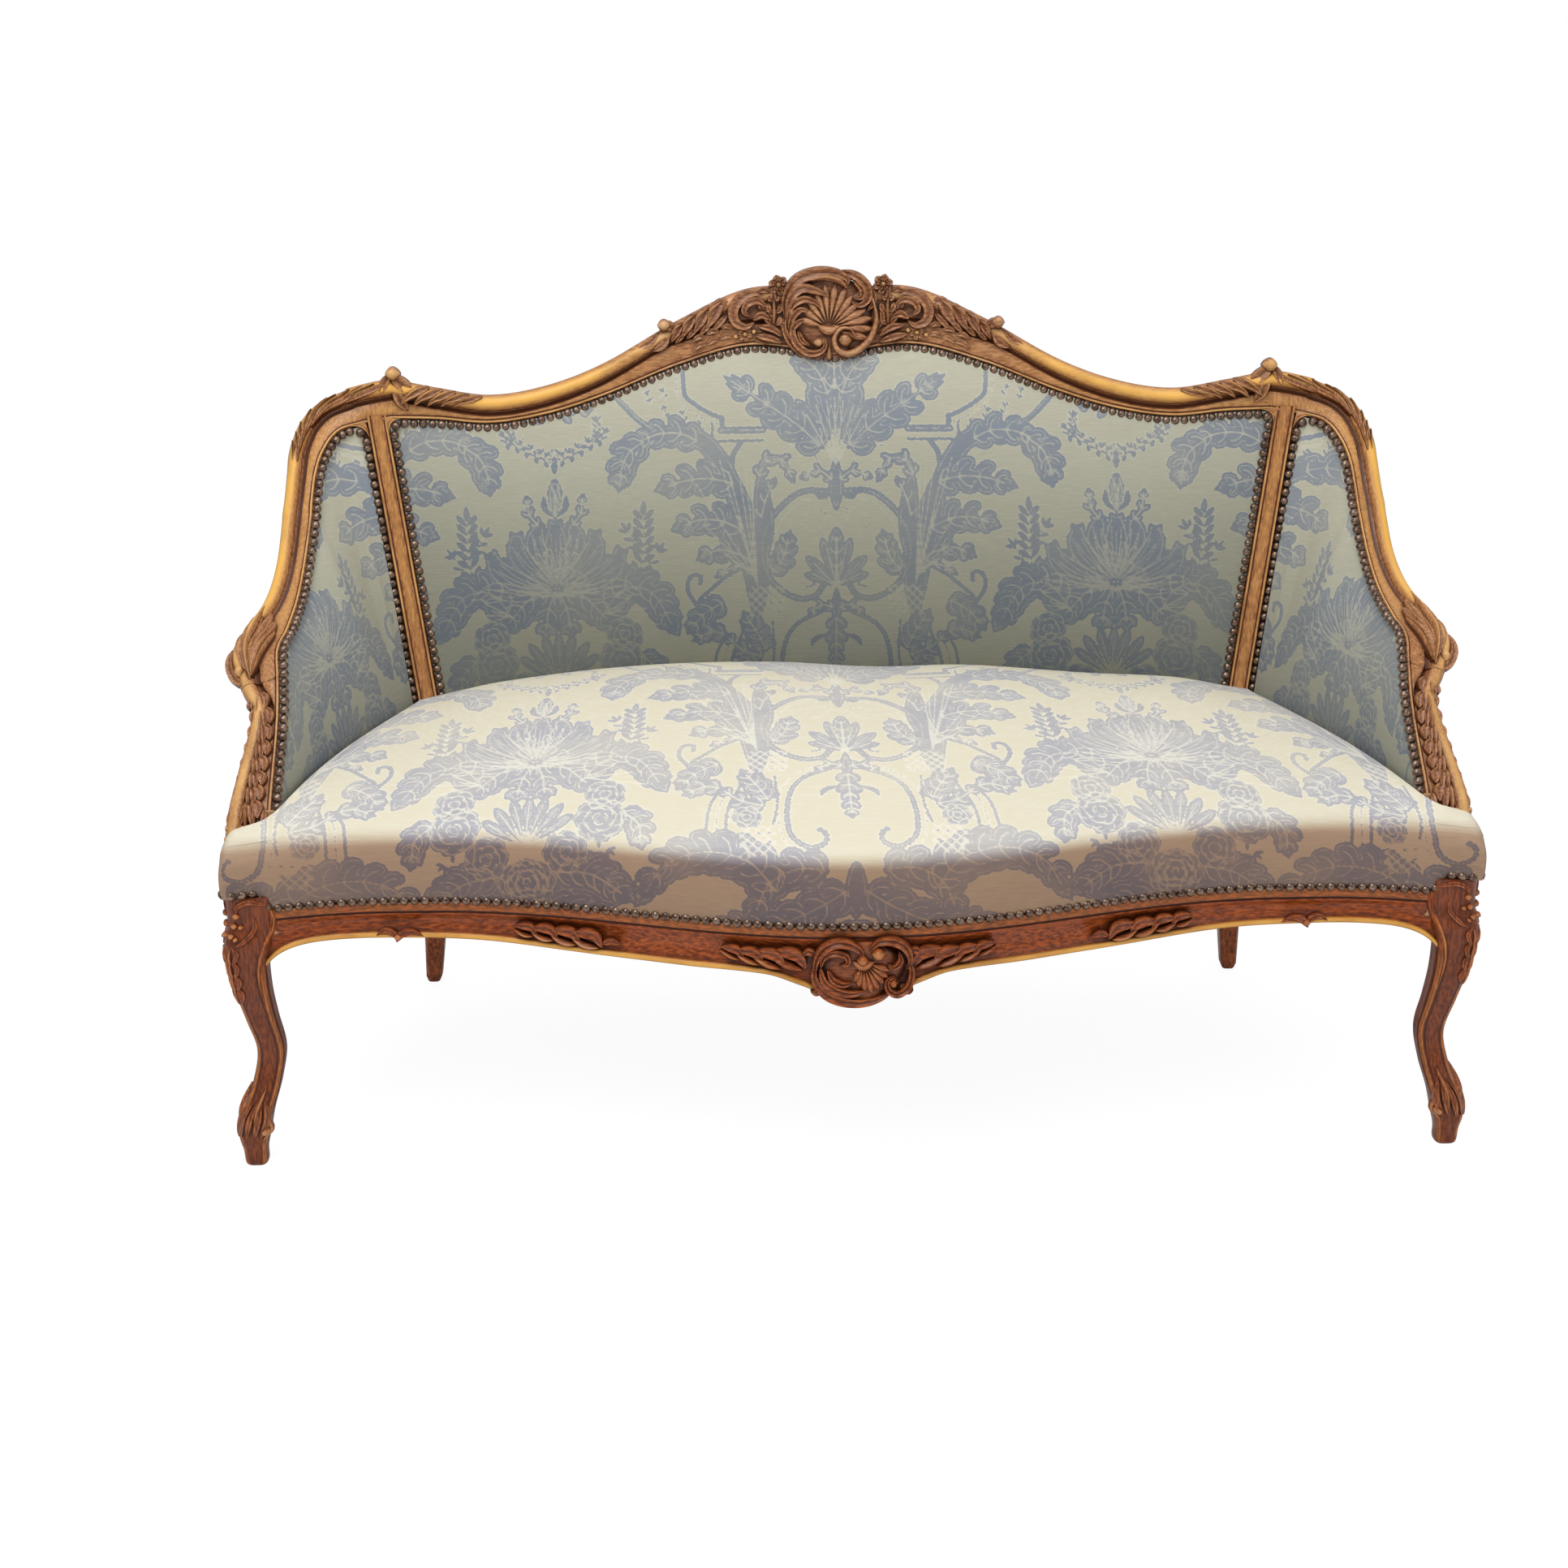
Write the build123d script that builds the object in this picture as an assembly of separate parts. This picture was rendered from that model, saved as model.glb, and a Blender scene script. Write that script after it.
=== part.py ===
"""Cabriole sofa: a show-wood settee with a serpentine front, basket arms and a sprung, nailed seat.

Millimetres. X runs to the right as seen from the front, Y to the back, Z up from the floor.
Right-hand pieces are modelled and the left-hand ones are their mirror images.
"""
import os
from math import cos, pi, radians, sin, tan

from build123d import *

os.makedirs("parts", exist_ok=True)

# ---- Plan of the seat frame ----
middle_y = -9.7             # middle of the whole sofa from front to back, in this plan
front_leg_x = 695.0         # middle plane to the centre of a front leg block
front_leg_y = -262.0        # centre of the front leg blocks
rear_post_x = 544.0         # middle plane to the centre of a rear post at the seat
rear_post_y = 219.0         # centre of the rear posts at the seat
front_face_y = -257.0       # face of the front rail where it meets the legs
front_bow = 105.0           # how far the serpentine front swells forward in the middle
front_bow_half = 500.0      # half the length of that swelling
front_flare = 28.0          # how far the front line comes forward again at the legs
front_flare_start = 540.0   # distance from the middle where that flare begins

# ---- Heights ----
rail_low = 275.0            # underside of the four seat rails
rail_top = 352.0            # top of the four seat rails
nail_line = 318.0           # lower edge of the fabric on the front rail
lip_z = 400.0               # front lip of the seat
seat_back_z = 455.0         # seat against the middle of the back
panel_low_z = 430.0         # lower edge of the back and arm upholstery
arm_z = 567.0               # inner edge of the arm rail where it turns down into its support
corner_z = 799.0            # inner edge of the crest rail at the top corners

# ---- Back frame ----
back_front_y = 206.0        # front face of the back frame at the posts, level with the panel's foot
back_rake = 8.3             # degrees that the back leans
back_bow = 50.0             # how far the middle of the back is bowed away
post_splay = 52.0           # how far each post leans outward from the panel's foot to the corner
# Half of the crest: distance from the middle, inner edge above the corner's, width up its face.
crest_form = [
    (0.0, 69.0, 84.0),
    (105.0, 83.0, 74.0),
    (200.0, 60.0, 58.0),
    (300.0, 22.0, 42.0),
    (375.0, 0.0, 37.0),
    (450.0, -10.0, 36.5),
    (520.0, -3.0, 41.0),
]
corner_width = 51.0         # width of the rail at its joint with the arm
corner_x = 576.0            # joint between the crest rail and an arm rail

# ---- Arms, from the corner joint round to the seat rail. Each row gives: share of the way from  ----
# ---- post to leg; flare outward; height (1 corner, 0 arm, -1 seat rail); width as X, Y and Z;    ----
# ---- share of the upholstery's foot line that lies under it.                                     ----
arm_form = [
    (-0.075, 81.5, 0.978, 12.0, 19.0, 46.0, 0.00),
    (-0.048, 106.0, 0.948, 29.0, 25.0, 33.0, 0.03),
    (0.000, 116.0, 0.862, 38.0, 21.0, 18.0, 0.07),
    (0.054, 116.0, 0.750, 38.0, 18.0, 6.0, 0.11),
    (0.106, 111.0, 0.608, 39.0, 17.0, -1.0, 0.16),
    (0.143, 105.0, 0.530, 40.0, 18.0, -2.0, 0.20),
    (0.222, 98.0, 0.310, 40.0, 16.0, -6.0, 0.31),
    (0.326, 85.0, 0.160, 45.0, 13.0, -6.0, 0.44),
    (0.455, 69.0, 0.060, 57.0, 8.0, -8.0, 0.59),
    (0.548, 59.0, 0.000, 60.0, 5.0, -14.0, 0.70),
    (0.610, 46.0, -0.120, 48.0, 4.0, -14.0, 0.77),
    (0.660, 36.0, -0.255, 34.0, 2.0, -6.0, 0.83),
    (0.720, 26.0, -0.400, 37.0, 1.0, -7.0, 0.88),
    (0.790, 15.0, -0.545, 44.0, 0.0, -8.0, 0.93),
    (0.875, 1.0, -0.710, 51.0, 0.0, -8.0, 0.98),
    (0.925, -7.0, -0.880, 53.0, 0.0, -8.0, 1.00),
    (0.945, -9.0, -1.120, 53.0, 0.0, -8.0, 1.00),
]
arm_joint = 0.610           # share where the arm rail is jointed to its support
pad_front = 0.800           # share where the arm upholstery ends against the support
arm_foot_swell = 17.0       # how far the upholstery's foot line curves outward
arm_foot_drop = 16.0        # how far it falls towards the front
arm_spans = 14              # facets along each length of moulding
support_spans = 8
crest_spans = 24

# ---- Sections of the moulded rails ----
rail_depth = 27.0           # thickness of the crest and arm rails
roll_width = 21.0           # the round roll along their outer edge
roll_rise = 9.0             # how far it stands in front of the flat band
cove_width = 7.0            # the hollow between the flat band and the roll
cove_depth = 3.0
crest_tongue = 15.0         # wood that runs on under the back upholstery
rebate = 9.0                # how far that tongue is set back from the flat band
crest_shell_reach = 72.0
apron_shell_reach = 42.0
lower_rail_height = 36.0    # hidden rails under the back and arm upholstery
stay_rail_thick = 22.0
upright_width = 34.0
upright_place = 190.0       # middle plane to each hidden upright

# ---- Seat rails ----
front_rail_thick = 46.0
front_rail_spans = 22       # facets along the front rail, the nailed fabric and the seat
leg_spans_across = 4        # and across each leg block
apron_thick = 25.0          # the moulded part of the front rail that hangs below the rest
apron_bead = 7.0            # bead along its lower edge
fabric_rebate = 6.0         # how far the nailed fabric is let into the front rail
knee_step = 19.0            # how far the nail line rises over the knees
side_rail_thick = 36.0
side_rail_swell = 22.0      # how far a side rail curves outward
rear_rail_thick = 30.0
brace_width = 44.0
brace_height = 42.0
tenon_length = 24.0
side_tenon_length = 12.0
tenon_thick = 13.0
tenon_height = 50.0
peg_diameter = 7.5          # across the corners of the eight-sided pegs
peg_length = 30.0
peg_spacing = 28.0
tenon_z = (rail_low + rail_top) / 2
front_tenon_y = front_leg_y + 8
# Lower edge of the apron: distance from the middle and depth below the seat rails' underside.
apron_form = [
    (0.0, 44.0),
    (35.0, 39.0),
    (65.0, 28.0),
    (105.0, 16.0),
    (200.0, 13.5),
    (320.0, 11.0),
    (440.0, 4.0),
    (560.0, 1.0),
    (700.0, 1.0),
]

# ---- Front legs: share of the height to the seat rails, lean along the diagonal, width ----
leg_block = 54.0
leg_form = [
    (0.00, 14.0, 27.0),
    (0.07, 14.5, 28.0),
    (0.14, 14.0, 36.0),
    (0.24, 9.0, 37.0),
    (0.36, -2.0, 34.0),
    (0.50, -8.5, 33.5),
    (0.66, -1.5, 37.0),
    (0.80, 4.5, 42.0),
    (0.95, 7.0, 48.0),
]
leg_spans = 16
leg_chamfer = 0.16          # how much of each corner is taken off, as a share of the leg's width

# ---- Rear posts ----
post_width = 46.0           # with the rebates for the upholstery on both sides
post_depth = 38.0
post_band = 25.0            # the band that shows between the nails
arm_rebate = 14.0           # rebate for the arm upholstery, deeper than the one for the back
post_foot = 21.0            # square foot
post_kick_x = 22.0          # how far the foot stands outward of the post
post_kick_y = 58.0          # how far it stands behind the post
post_shoulder = 30.0        # height of its square block above the seat rails

# ---- Upholstery ----
cover_thick = 2.5
pad_gap = 0.4               # between soft pieces and what they lie against
pad_margin = 1.0            # from a pad's edge to the moulding beside it
pad_edge = 7.5              # thickness of a pad at its nailed edge
cloth_thick = 1.5
canvas_thick = 1.2
dust_cloth = 1.0
seat_clear = 6.0            # room between the seat and the foot of the back for the pad's crown
seat_notch = 1.5            # room between the seat and the posts and supports
seat_inward = 8.3           # the seat's side from the foot line of the arm upholstery
seat_side_facets = 4
back_crown = 34.0
arm_crown = 17.0
seat_crown = 24.0
front_swell = 11.0          # how far the seat's front face bulges past the rail
webbing_thick = 1.6
webbing_width = 50.0
back_strap_places = (-430.0, -310.0, -70.0, 70.0, 310.0, 430.0)
hessian_z = 398.0           # canvas over the springs
spring_wire = 4.0
spring_turns = 4
spring_mouth = 88.0         # diameter of a spring's end coils
spring_waist = 56.0
spring_columns = 6
spring_rows = 2
spring_pitch_x = 190.0
spring_pitch_y = 190.0
spring_centre_y = -30.0


def lerp(start, end, share):
    """Point a share of the way from one value to another."""
    return start + (end - start) * share


def along(rows, place):
    """Values between the rows of a table at a place in its first column, on a smooth cubic."""
    place = min(max(place, rows[0][0]), rows[-1][0])
    index = max(number for number, row in enumerate(rows[:-1]) if row[0] <= place)
    low, high = rows[index], rows[index + 1]
    before, after = rows[max(index - 1, 0)], rows[min(index + 2, len(rows) - 1)]
    span = high[0] - low[0]
    t = (place - low[0]) / span
    values = []
    for column in range(1, len(low)):
        leave = (high[column] - before[column]) / (high[0] - before[0]) * span
        arrive = (after[column] - low[column]) / (after[0] - low[0]) * span
        ends = low[column] * (2 * t**3 - 3 * t**2 + 1) + high[column] * (3 * t**2 - 2 * t**3)
        values.append(ends + leave * (t**3 - 2 * t**2 + t) + arrive * (t**3 - t**2))
    return values


def both_sides(rows):
    """A table for the right half, continued over the left half by symmetry."""
    return [(-row[0], *row[1:]) for row in rows[:0:-1]] + list(rows)


def save(name, shape):
    """Write one sub-part under its own name, about an origin under the middle of the sofa."""
    export_step(Pos(0, -middle_y, 0) * shape, f"parts/{name}.step")


def save_pair(name, shape):
    """Write a right-hand piece and its mirror image on the left."""
    save(f"{name}_right", shape)
    save(f"{name}_left", mirror(shape, about=Plane.YZ))


def body(shape):
    """The main solid of a trimmed piece, without any crumb of a coincident face."""
    return max(shape.solids(), key=lambda solid: solid.volume)


def spaced(start, end, spans):
    """Evenly spaced places from start to end."""
    return [lerp(start, end, index / spans) for index in range(spans + 1)]


# ---- Lines that several pieces share ----
def front_curve(x):
    """Depth of the front line: a cosine swelling in the middle and a flare at each leg."""
    swell = 0.5 * (1 + cos(pi * x / front_bow_half)) if x < front_bow_half else 0.0
    flare = max(0.0, (x - front_flare_start) / (front_leg_x - front_flare_start)) ** 2
    return front_face_y - front_bow * swell - front_flare * flare


def front_places():
    """Places of the facets that the front rail, the leg blocks and the seat share, right half."""
    end = front_leg_x - leg_block / 2
    across = spaced(end, end + leg_block + 6, leg_spans_across)
    return spaced(0, end, front_rail_spans // 2) + across[1:]


def front_line(x):
    """Depth of the front rail's face on the facet at a place."""
    places = front_places()
    index = max(number for number, place in enumerate(places[:-1]) if place <= abs(x))
    low, high = places[index], places[index + 1]
    return lerp(front_curve(low), front_curve(high), (abs(x) - low) / (high - low))


def skirt_low(x):
    """Lower edge of the nailed fabric, which steps up over the knee of each front leg."""
    share = min(1.0, max(0.0, (abs(x) - front_leg_x + leg_block / 2) * 2 / leg_block))
    return nail_line + 1 + knee_step * share


def back_y(x, z):
    """Depth of the back frame's front face: bowed in plan and leaning back."""
    bow = back_bow * (1 - (x / (rear_post_x + post_splay / 2)) ** 2)
    return back_front_y + tan(radians(back_rake)) * (z - panel_low_z) + bow


def post_x(z):
    """Centre of a post above the seat, which leans outward."""
    return rear_post_x + post_splay * (z - panel_low_z) / (corner_z - panel_low_z)


def foot_point(share, inward=0.0):
    """Foot of the arm upholstery in plan, from the post (0) to the arm support (1)."""
    x = lerp(rear_post_x + post_band / 2 + 3, front_leg_x - leg_block / 2 + 3, share)
    y = lerp(back_front_y - 6, front_leg_y + leg_block / 2 + 29, share)
    return x + arm_foot_swell * sin(pi * max(share, 0.0)) - inward, y


def side_point(share, outward=0.0):
    """Centre line of a side rail in plan, from the rear post (0) to the front leg (1)."""
    x = lerp(rear_post_x + 4, front_leg_x, share) + side_rail_swell * sin(pi * share)
    return x + outward, lerp(rear_post_y - post_depth / 2, front_leg_y + leg_block / 2, share)


def faceted(start, middle, end, count):
    """Points after the start of an arc that is worked as a few flat facets."""
    arc = ThreePointArc(start, middle, end)
    return [arc @ share for share in spaced(0, 1, count)[1:]]


def strip(near, far, low, high):
    """A plank bent in plan between two lines of points and cut level at top and bottom."""
    outline = Polyline(*near, *far[::-1], close=True)
    return extrude(Pos(0, 0, low) * make_face(outline), high - low)


def block(x_range, y_range, z_range):
    """A square block between the given limits."""
    limits = (x_range, y_range, z_range)
    return Pos(*[(low + high) / 2 for low, high in limits]) * Box(*[high - low for low, high in limits])


# ---- Moulded rails of the back and arms ----
def moulding(width, tongue):
    """Section of a show rail, across its face (x) and out of it (y): band, cove, roll and back."""
    roll = width - roll_width
    cove = roll - cove_width
    outline = [
        (0, 0), (cove, 0), ((cove + roll) / 2, -cove_depth), (roll, 0),
        *faceted((roll, 0), (width - roll_width / 2, roll_rise), (width, -rebate / 2), 5),
        (width - 1, -rail_depth * 0.6), (width - 7, -rail_depth), (-tongue, -rail_depth),
    ]
    if tongue:
        outline += [(-tongue, -rebate), (0, -rebate)]
    return make_face(Polyline(*outline, close=True))


def crest_edge(x):
    """Height of the crest rail's inner edge above the corners, and the rail's width, at one place."""
    return along(both_sides([*crest_form, (corner_x, 0.0, corner_width)]), x)


def crest_places():
    """Places of the facets that the crest rail and the back upholstery share."""
    return spaced(-corner_x, corner_x, crest_spans)


def crest_frame(x):
    """Plane across the crest rail, its X up the rail's face and its Z along the rail."""
    rise, width = crest_edge(x)
    low = Vector(x, back_y(x, corner_z + rise), corner_z + rise)
    high = Vector(x, back_y(x, corner_z + rise + width), corner_z + rise + width)
    return Plane(origin=low, x_dir=high - low, z_dir=(1, 0, 0)), (high - low).length


def arm_edge(share):
    """Inner and outer edge points of the arm's moulding at a share of the way to the front leg."""
    flare, height, wide, deep, tall, _ = along(arm_form, share)
    x = lerp(rear_post_x, front_leg_x, share) + flare
    z = lerp(arm_z, corner_z, height) if height > 0 else lerp(arm_z, rail_top, -height)
    inner = Vector(x, lerp(rear_post_y, front_leg_y, share), z)
    return inner, inner + Vector(wide, deep, tall)


def arm_places():
    """Places of the facets that the arm rail and the arm upholstery share."""
    return spaced(arm_form[0][0], arm_joint, arm_spans)


def support_places():
    """Places of the facets along the arm support."""
    return spaced(arm_joint, arm_form[-1][0], support_spans)


def arm_frame(share, step=0.004):
    """Plane square to the run of the arm's moulding, its X across the face, and the width there."""
    inner, outer = arm_edge(share)
    ahead, behind = arm_edge(share + step), arm_edge(share - step)
    run = (ahead[0] + ahead[1]) - (behind[0] + behind[1])
    return Plane(origin=inner, x_dir=outer - inner, z_dir=run), (outer - inner).length


def moulded(frames, tongue=0.0):
    """A rail lofted through its stations."""
    return loft([plane * moulding(width, tongue) for plane, width in frames], ruled=True)


def scallop(reach, spread, lobes, thickness, cup):
    """A carved scallop shell lying flat: lobed rim, flutes that meet at a cup, two volutes below."""
    rim = []
    for index in range(3 * lobes + 1):
        angle = radians(spread - 2 * spread * index / (3 * lobes))
        radius = reach if index % 3 == 0 else reach * 1.09
        rim.append((radius * sin(angle), radius * cos(angle)))
    shell = extrude(make_face(Polyline(*rim, (-cup, -cup), (cup, -cup), close=True)), thickness, taper=24)
    flute = Rot(90, 0, 0) * Rot(0, 0, 45) * Box(4, 4, reach)
    for index in range(1, lobes):
        angle = -spread + 2 * spread * index / lobes
        shell -= Rot(0, 0, -angle) * Pos(0, reach * 0.62, thickness) * flute
    volute = extrude(RegularPolygon(cup * 1.2, 10), thickness * 1.3, taper=10)
    for side in (-1, 1):
        shell += Pos(side * cup * 2.0, -cup * 0.8) * volute
    return shell


# ---- Wooden frame ----
def crest_rail():
    """Serpentine top rail with the shell carved at its peak."""
    rail = moulded([crest_frame(x) for x in crest_places()], crest_tongue)
    rise, _ = crest_edge(0)
    cup_z = corner_z + rise + 30
    cup = Vector(0, back_y(0, cup_z) + rail_depth / 2, cup_z)
    up = Vector(0, tan(radians(back_rake)), 1)
    seat = Plane(origin=cup, x_dir=(1, 0, 0), z_dir=Vector(1, 0, 0).cross(up))
    return rail + seat * scallop(crest_shell_reach, 74, 9, rail_depth / 2 + 20, 11)


def front_section(x):
    """Section of the front rail: rebate for the fabric, band, hollow and bead on its lower edge."""
    face = front_line(x)
    low = rail_low - along(both_sides(apron_form), x)[0]
    back, recess, apron = face + front_rail_thick, face + fabric_rebate, face + apron_thick
    lip, band = (face + 3, low + apron_bead), (face, nail_line - 16)
    outline = Polyline(
        (face, nail_line), (recess, nail_line), (recess, rail_top), (back, rail_top),
        (back, rail_low), (apron, rail_low), (apron, low), (face + apron_bead, low),
        *faceted((face + apron_bead, low), (face - 2, low + apron_bead / 2), lip, 3),
        *faceted(lip, (face + 5, lerp(low, nail_line, 0.4)), band, 3),
        close=True,
    )
    return Plane.YZ.offset(x) * make_face(outline)


def tenon_pair(x, y):
    """Tenons at both ends of a rail that runs between two legs."""
    tenon = Pos(x + tenon_length / 2, y, tenon_z) * Box(tenon_length, tenon_thick, tenon_height)
    return tenon + mirror(tenon, about=Plane.YZ)


def front_rail():
    """Bowed and moulded front rail with the shell carved under its middle."""
    end = front_leg_x - leg_block / 2
    rail = loft([front_section(x) for x in spaced(-end, end, 2 * (front_rail_spans // 2))], ruled=True)
    cup = Vector(0, front_line(0) + apron_thick / 2, nail_line - 32)
    seat = Plane(origin=cup, x_dir=(-1, 0, 0), z_dir=(0, -1, 0))
    shell = seat * scallop(apron_shell_reach, 66, 7, apron_thick / 2 + 9, 8)
    return rail + shell + tenon_pair(end, front_tenon_y)


def chamfered_square(width):
    """Section of a leg: a square with its corners taken off."""
    half, cut = width / 2, width * leg_chamfer
    corner = [(half - cut, half), (half, half - cut)]
    right = corner + [(x, -y) for x, y in corner[::-1]]
    return make_face(Polyline(*right, *[(-x, y) for x, y in right[::-1]], close=True))


def front_leg():
    """Cabriole leg: an S on the diagonal with a small square foot, a swelling knee and a block."""
    sections = []
    for height in spaced(0, 1, leg_spans):
        lean, width = along([*leg_form, (1.0, 5.0, leg_block)], height)
        place = Pos(front_leg_x + lean, front_leg_y - lean, height * rail_low)
        sections.append(place * chamfered_square(width))
    for z in (rail_low + 20, rail_top):
        sections.append(Pos(front_leg_x, front_leg_y, z) * chamfered_square(leg_block))
    return loft(sections, ruled=True) - fabric_room()


def fabric_room():
    """Room for the nailed fabric in front of a leg block, above the step in the nail line."""
    sections = []
    for x in front_places()[-leg_spans_across - 2:]:
        recess = front_line(x) + fabric_rebate
        low, high = skirt_low(x) - 1, lip_z
        corners = [(recess, low), (recess, high), (recess - 60, high), (recess - 60, low)]
        sections.append(Plane.YZ.offset(x) * make_face(Polyline(*corners, close=True)))
    return loft(sections, ruled=True)


def post_section(z):
    """Section of a post above the seat: a band that stands between two rebates."""
    half, band = post_width / 2, post_band / 2
    outline = [
        (-half, rebate), (-band, rebate), (-band, 0), (band, 0), (band, arm_rebate), (half, arm_rebate),
        (half, rail_depth), (-half, rail_depth),
    ]
    centre = post_x(z)
    bowed = [(centre + x, back_y(centre + x, z) + y) for x, y in outline]
    return Pos(0, 0, z) * make_face(Polyline(*bowed, close=True))


def rear_post():
    """Rear leg and back stile in one piece: splayed foot, square block, leaning moulded band."""
    shoulder = rail_top + post_shoulder
    stile = loft([post_section(z) for z in (shoulder, corner_z + corner_width * 0.4)], ruled=True)
    sections = []
    for share in spaced(0, 1, 7):
        kick = (1 - share) ** 2
        width, depth = lerp(post_width, post_foot, kick**0.7), lerp(post_depth, post_foot, kick**0.7)
        place = Pos(rear_post_x + post_kick_x * kick, rear_post_y + post_kick_y * kick, share * rail_low)
        sections.append(place * Rectangle(width, depth))
    square = Rectangle(post_width, post_depth)
    sections.append(Pos(rear_post_x, rear_post_y, shoulder) * square)
    return loft(sections, ruled=True) + stile


def side_rail():
    """Side seat rail, curved outward between the rear post and the front leg."""
    half = side_rail_thick / 2
    near = [side_point(share, -half) for share in spaced(0, 1, 10)]
    far = [side_point(share, half) for share in spaced(0, 1, 10)]
    rail = strip(near, far, rail_low, rail_top)
    tenon = Box(tenon_thick, side_tenon_length, tenon_height)
    for share, way in ((0, 1), (1, -1)):
        x, y = side_point(share)
        rail += Pos(x, y + way * side_tenon_length / 2, tenon_z) * tenon
    return rail


def bowed_strip(end, front, thickness, low, high):
    """A plank that follows the bow of the back between the posts."""
    places = spaced(-end, end, 12)
    return strip([(x, front(x)) for x in places], [(x, front(x) + thickness) for x in places], low, high)


def rear_rail_y(x):
    """Front face of the rear seat rail, bowed like the back."""
    bow = back_y(x, rail_top) - back_y(rear_post_x - post_width / 2, rail_top)
    return rear_post_y - rear_rail_thick / 2 + bow


def rear_rail():
    """Rear seat rail with its tenons."""
    end = rear_post_x - post_width / 2
    return bowed_strip(end, rear_rail_y, rear_rail_thick, rail_low, rail_top) + tenon_pair(end, rear_post_y)


def back_lower_rail():
    """Lower rail of the back frame, which the back upholstery is nailed to."""
    low, high = panel_low_z - lower_rail_height, panel_low_z + 2
    return bowed_strip(
        post_x(low), lambda x: back_y(x, panel_low_z) + rebate, rail_depth - rebate, low, high)


def back_upright(x):
    """Hidden upright between the lower rail and the crest rail, leaning with the back."""
    sections = []
    for z in (panel_low_z - 2, corner_z + crest_edge(x)[0]):
        outline = Rectangle(upright_width, rail_depth - rebate - 3)
        sections.append(Pos(x, back_y(x, z) + (rail_depth + rebate) / 2 + 0.5, z) * outline)
    return loft(sections, ruled=True)


def arm_stay_rail():
    """Lower rail of an arm, which the arm upholstery is nailed to."""
    shares = spaced(-0.06, 1, 10)
    near = [foot_point(share, -pad_gap) for share in shares]
    far = [foot_point(share, -pad_gap - stay_rail_thick) for share in shares]
    return strip(near, far, panel_low_z - lower_rail_height, panel_low_z - arm_foot_drop)


def seat_brace():
    """Cross rail under the seat, which keeps the long rails from spreading."""
    reach = (front_line(0) + front_rail_thick - 4, rear_rail_y(0) + rear_rail_thick / 2)
    return block((-brace_width / 2, brace_width / 2), reach, (rail_low, rail_low + brace_height))


def corner_block_blanks():
    """Glued blocks for the inner corners of the seat frame, before they are trimmed to the rails."""
    x, y = front_leg_x - leg_block / 2, front_leg_y + leg_block / 2
    front = [(x + 8, y - 40), (x - 75, y - 5), (x - 15, y + 65), (x + 30, y + 20)]
    x, y = rear_post_x - post_width / 2, rear_post_y - post_depth / 2
    rear = [(x - 60, y + 40), (x - 60, y + 12), (x + 18, y - 58), (x + 45, y - 40), (x, y + 30)]
    low, high = rail_low + 12, rail_top - 12
    return [extrude(Pos(0, 0, low) * make_face(Polyline(*plan, close=True)), high - low)
            for plan in (front, rear)]


def joint_pegs():
    """Pegs that lock the front and rear rails' tenons in the legs."""
    front_x = front_leg_x - leg_block / 2 + tenon_length / 2
    rear_x = rear_post_x - post_width / 2 + tenon_length / 2
    pin = Rot(90, 0, 0) * extrude(RegularPolygon(peg_diameter / 2, 8), peg_length / 2, both=True)
    return [
        Pos(side * x, y, tenon_z + level) * pin
        for x, y in ((front_x, front_tenon_y), (rear_x, rear_post_y))
        for level in (-peg_spacing / 2, peg_spacing / 2)
        for side in (-1, 1)
    ]


# ---- Upholstery ----
def bowed_edge(height, edge, middle):
    """Line or arc up a layer from its foot to its head, as far out as given at edge and middle."""
    if abs(middle - edge) < 0.05:
        return Line((0, edge), (height, edge))
    return ThreePointArc((0, edge), (height / 2, middle), (height, edge))


def layer_section(height, back, front):
    """Closed section of a layer: x up the panel, y out towards the sitter; each side (edge, middle)."""
    return make_face([
        bowed_edge(height, *back),
        bowed_edge(height, *front),
        Line((0, back[0]), (0, front[0])),
        Line((height, back[0]), (height, front[0])),
    ])


def back_section(share, back, front, margin, below):
    """One section of a back layer; share runs from -1 at one post to 1 at the other."""
    foot_x = share * (rear_post_x - post_band / 2 - margin)
    head_x = share * (rear_post_x + post_splay - post_band / 2 - margin)
    foot_z, head_z = panel_low_z - 3, corner_z + crest_edge(head_x)[0] - below
    foot = Vector(foot_x, back_y(foot_x, foot_z) + rebate, foot_z)
    head = Vector(head_x, back_y(head_x, head_z) + rebate, head_z)
    crown = back_crown * (1 - share**4)
    sides = [(edge, edge + crown * fill) for edge, fill in (back, front)]
    up = head - foot
    plane = Plane(origin=foot, x_dir=up, z_dir=up.cross(Vector(0, -1, 0)))
    return plane * layer_section(up.length, *sides)


def back_layer(back, front, margin=pad_margin, below=2 * pad_margin):
    """A layer of the back from post to post; back and front are (stand-off at the edge, crown)."""
    reach = rear_post_x + post_splay - post_band / 2 - margin
    shares = [-1.0] + [x / reach for x in crest_places() if abs(x) < reach] + [1.0]
    return loft([back_section(share, back, front, margin, below) for share in shares], ruled=True)


def arm_section(share, back, front):
    """One section of an arm layer between the rail's inner side and the foot line."""
    head = arm_frame(share)[0].from_local_coords(Vector(-pad_margin, -rebate, 0))
    under = along(arm_form, share)[-1]
    foot = Vector(*foot_point(under), panel_low_z - arm_foot_drop * under)
    swing = max(0.0, 1 - under * 6)
    inward = Vector(0.5 * swing - 1, -0.5 * (1 - under) - 0.4 * swing, 0)
    up = head - foot
    crown = arm_crown * min(1.0, up.length / 220) * min(1.0, 0.4 + share * 4)
    sides = [(edge, edge + crown * fill) for edge, fill in (back, front)]
    plane = Plane(origin=foot, x_dir=up, z_dir=up.cross(inward))
    return plane * layer_section(up.length, *sides)


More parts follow.
